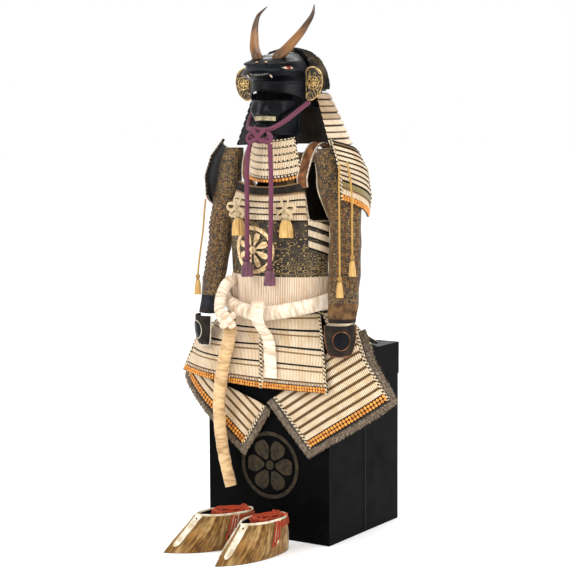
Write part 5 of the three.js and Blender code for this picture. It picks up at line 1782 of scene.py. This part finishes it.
def make_boot_ties(row, heel, ahead, aside, skin):
    """A loose bundle of cord on top, a loop down each side and three turns behind the heel."""
    cords = Piece(f"boot_{row['name']}_ties")
    for k in range(9):
        turn = k * 2.4
        points = []
        for i in range(7):
            reach = 26 + 7 * math.sin(turn + i * 1.3)
            points.append(heel + ahead * (70 + 52 * math.sin(turn * 0.7 + i * 1.1))
                          + aside * (reach * math.sin(turn + i * 1.9))
                          + Vector((0, 0, 95 + 6 * math.sin(turn + i))))
        cords.roll(route(points, 44), 2.6, 2.6, red_cord, 6)
    for side in (1, -1):
        for angle, drop in ((96, 0.34), (101, 0.5)):
            over = [raised(skin, side * angle, t, 4.4, 1, 0.01)
                    for t in (0.98, 0.8, drop + 0.1, drop)]
            back = [skin(side * (angle + 5), t) + normal_at(skin, side * (angle + 5), t, 1, 0.01) * 5
                    for t in (drop, 0.7, 0.97)]
            cords.roll(route(over + back, 30), 2.2, 2.2, red_cord, 6)
    for t in (0.8, 0.86, 0.92):
        band = [raised(skin, a, t, 3.4, 1, 0.01) for a in spread(112, 248, 24)]
        cords.roll(band, 2.2, 2.2, red_cord, 6)
    cords.build(slot="bear_fur")


make_bowl()
make_mane()
make_beast()
make_peak()
make_lining()
for name, side in (("left", 1), ("right", -1)):
    make_horn(name, side)
    make_turn_back(name, side)
make_mask()
for row in BOOTS:
    heel, ahead, aside, skin = boot_of(row)
    make_boot_hide(row, heel, ahead, skin)
    make_boot_trim(row, skin)
    make_boot_ties(row, heel, ahead, aside, skin)

# ---- Chest and stand ----

CHEST = {"width": 405, "depth": 385, "height": 520, "lid_low": 428}


def make_chest():
    """Finishes of the chest and stand, the emblem and the board lines."""
    for node, finish in (("chest_body", chest_lacquer), ("chest_lid", chest_lacquer), ("stand_post", cedar),
                         ("stand_head_block", head_cloth)):
        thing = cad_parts[node]
        for part in thing.material_slots:
            part.link = "OBJECT"
            part.material = finish

    face = -CHEST["depth"] / 2
    emblem = Piece("chest_emblem_gilding")

    def spot(reach, turn, lift):
        return Vector((8 + reach * math.sin(turn), face - lift, 205 + reach * math.cos(turn)))

    sides = 96
    for near, far in ((84, 95), (0.5, 13)):
        rings = [[spot(reach, math.tau * k / sides, lift) for k in range(sides)]
                 for reach, lift in ((near, 0.1), (near, 0.5), (far, 0.5), (far, 0.1))]
        emblem.grid(rings, [[(k * 5, i * 4) for k in range(sides + 1)] for i in range(4)], faded_gold, True)
    # The boards meet in a fine line down the middle of each side.
    for x, turned in ((CHEST["width"] / 2, False), (-CHEST["width"] / 2, True)):
        edge = 0.7 if x > 0 else -0.7
        rows = [[Vector((x + out, y, z)) for y, out in ((-2, 0), (-1.2, edge), (1.2, edge), (2, 0))]
                for z in (6, CHEST["lid_low"] - 6)]
        emblem.grid(rows, [[(y, z) for y in range(4)] for z in (0, 416)], chest_seam, turned=turned)
    for k in range(6):
        middle = math.tau * (k + 0.5) / 6
        rows = []
        for i in range(13):
            t = i / 12
            reach = lerp(19, 74, t)
            half = 0.46 * math.sin(math.pi * (0.12 + 0.8 * t)) ** 0.55
            rows.append([spot(reach, middle + half * s, 0.5) for s in (-1, -0.5, 0, 0.5, 1)])
        emblem.grid(rows, [[(s * 8, i * 5) for s in range(5)] for i in range(13)], faded_gold, turned=True)
    emblem.build(slot="chest")


make_chest()
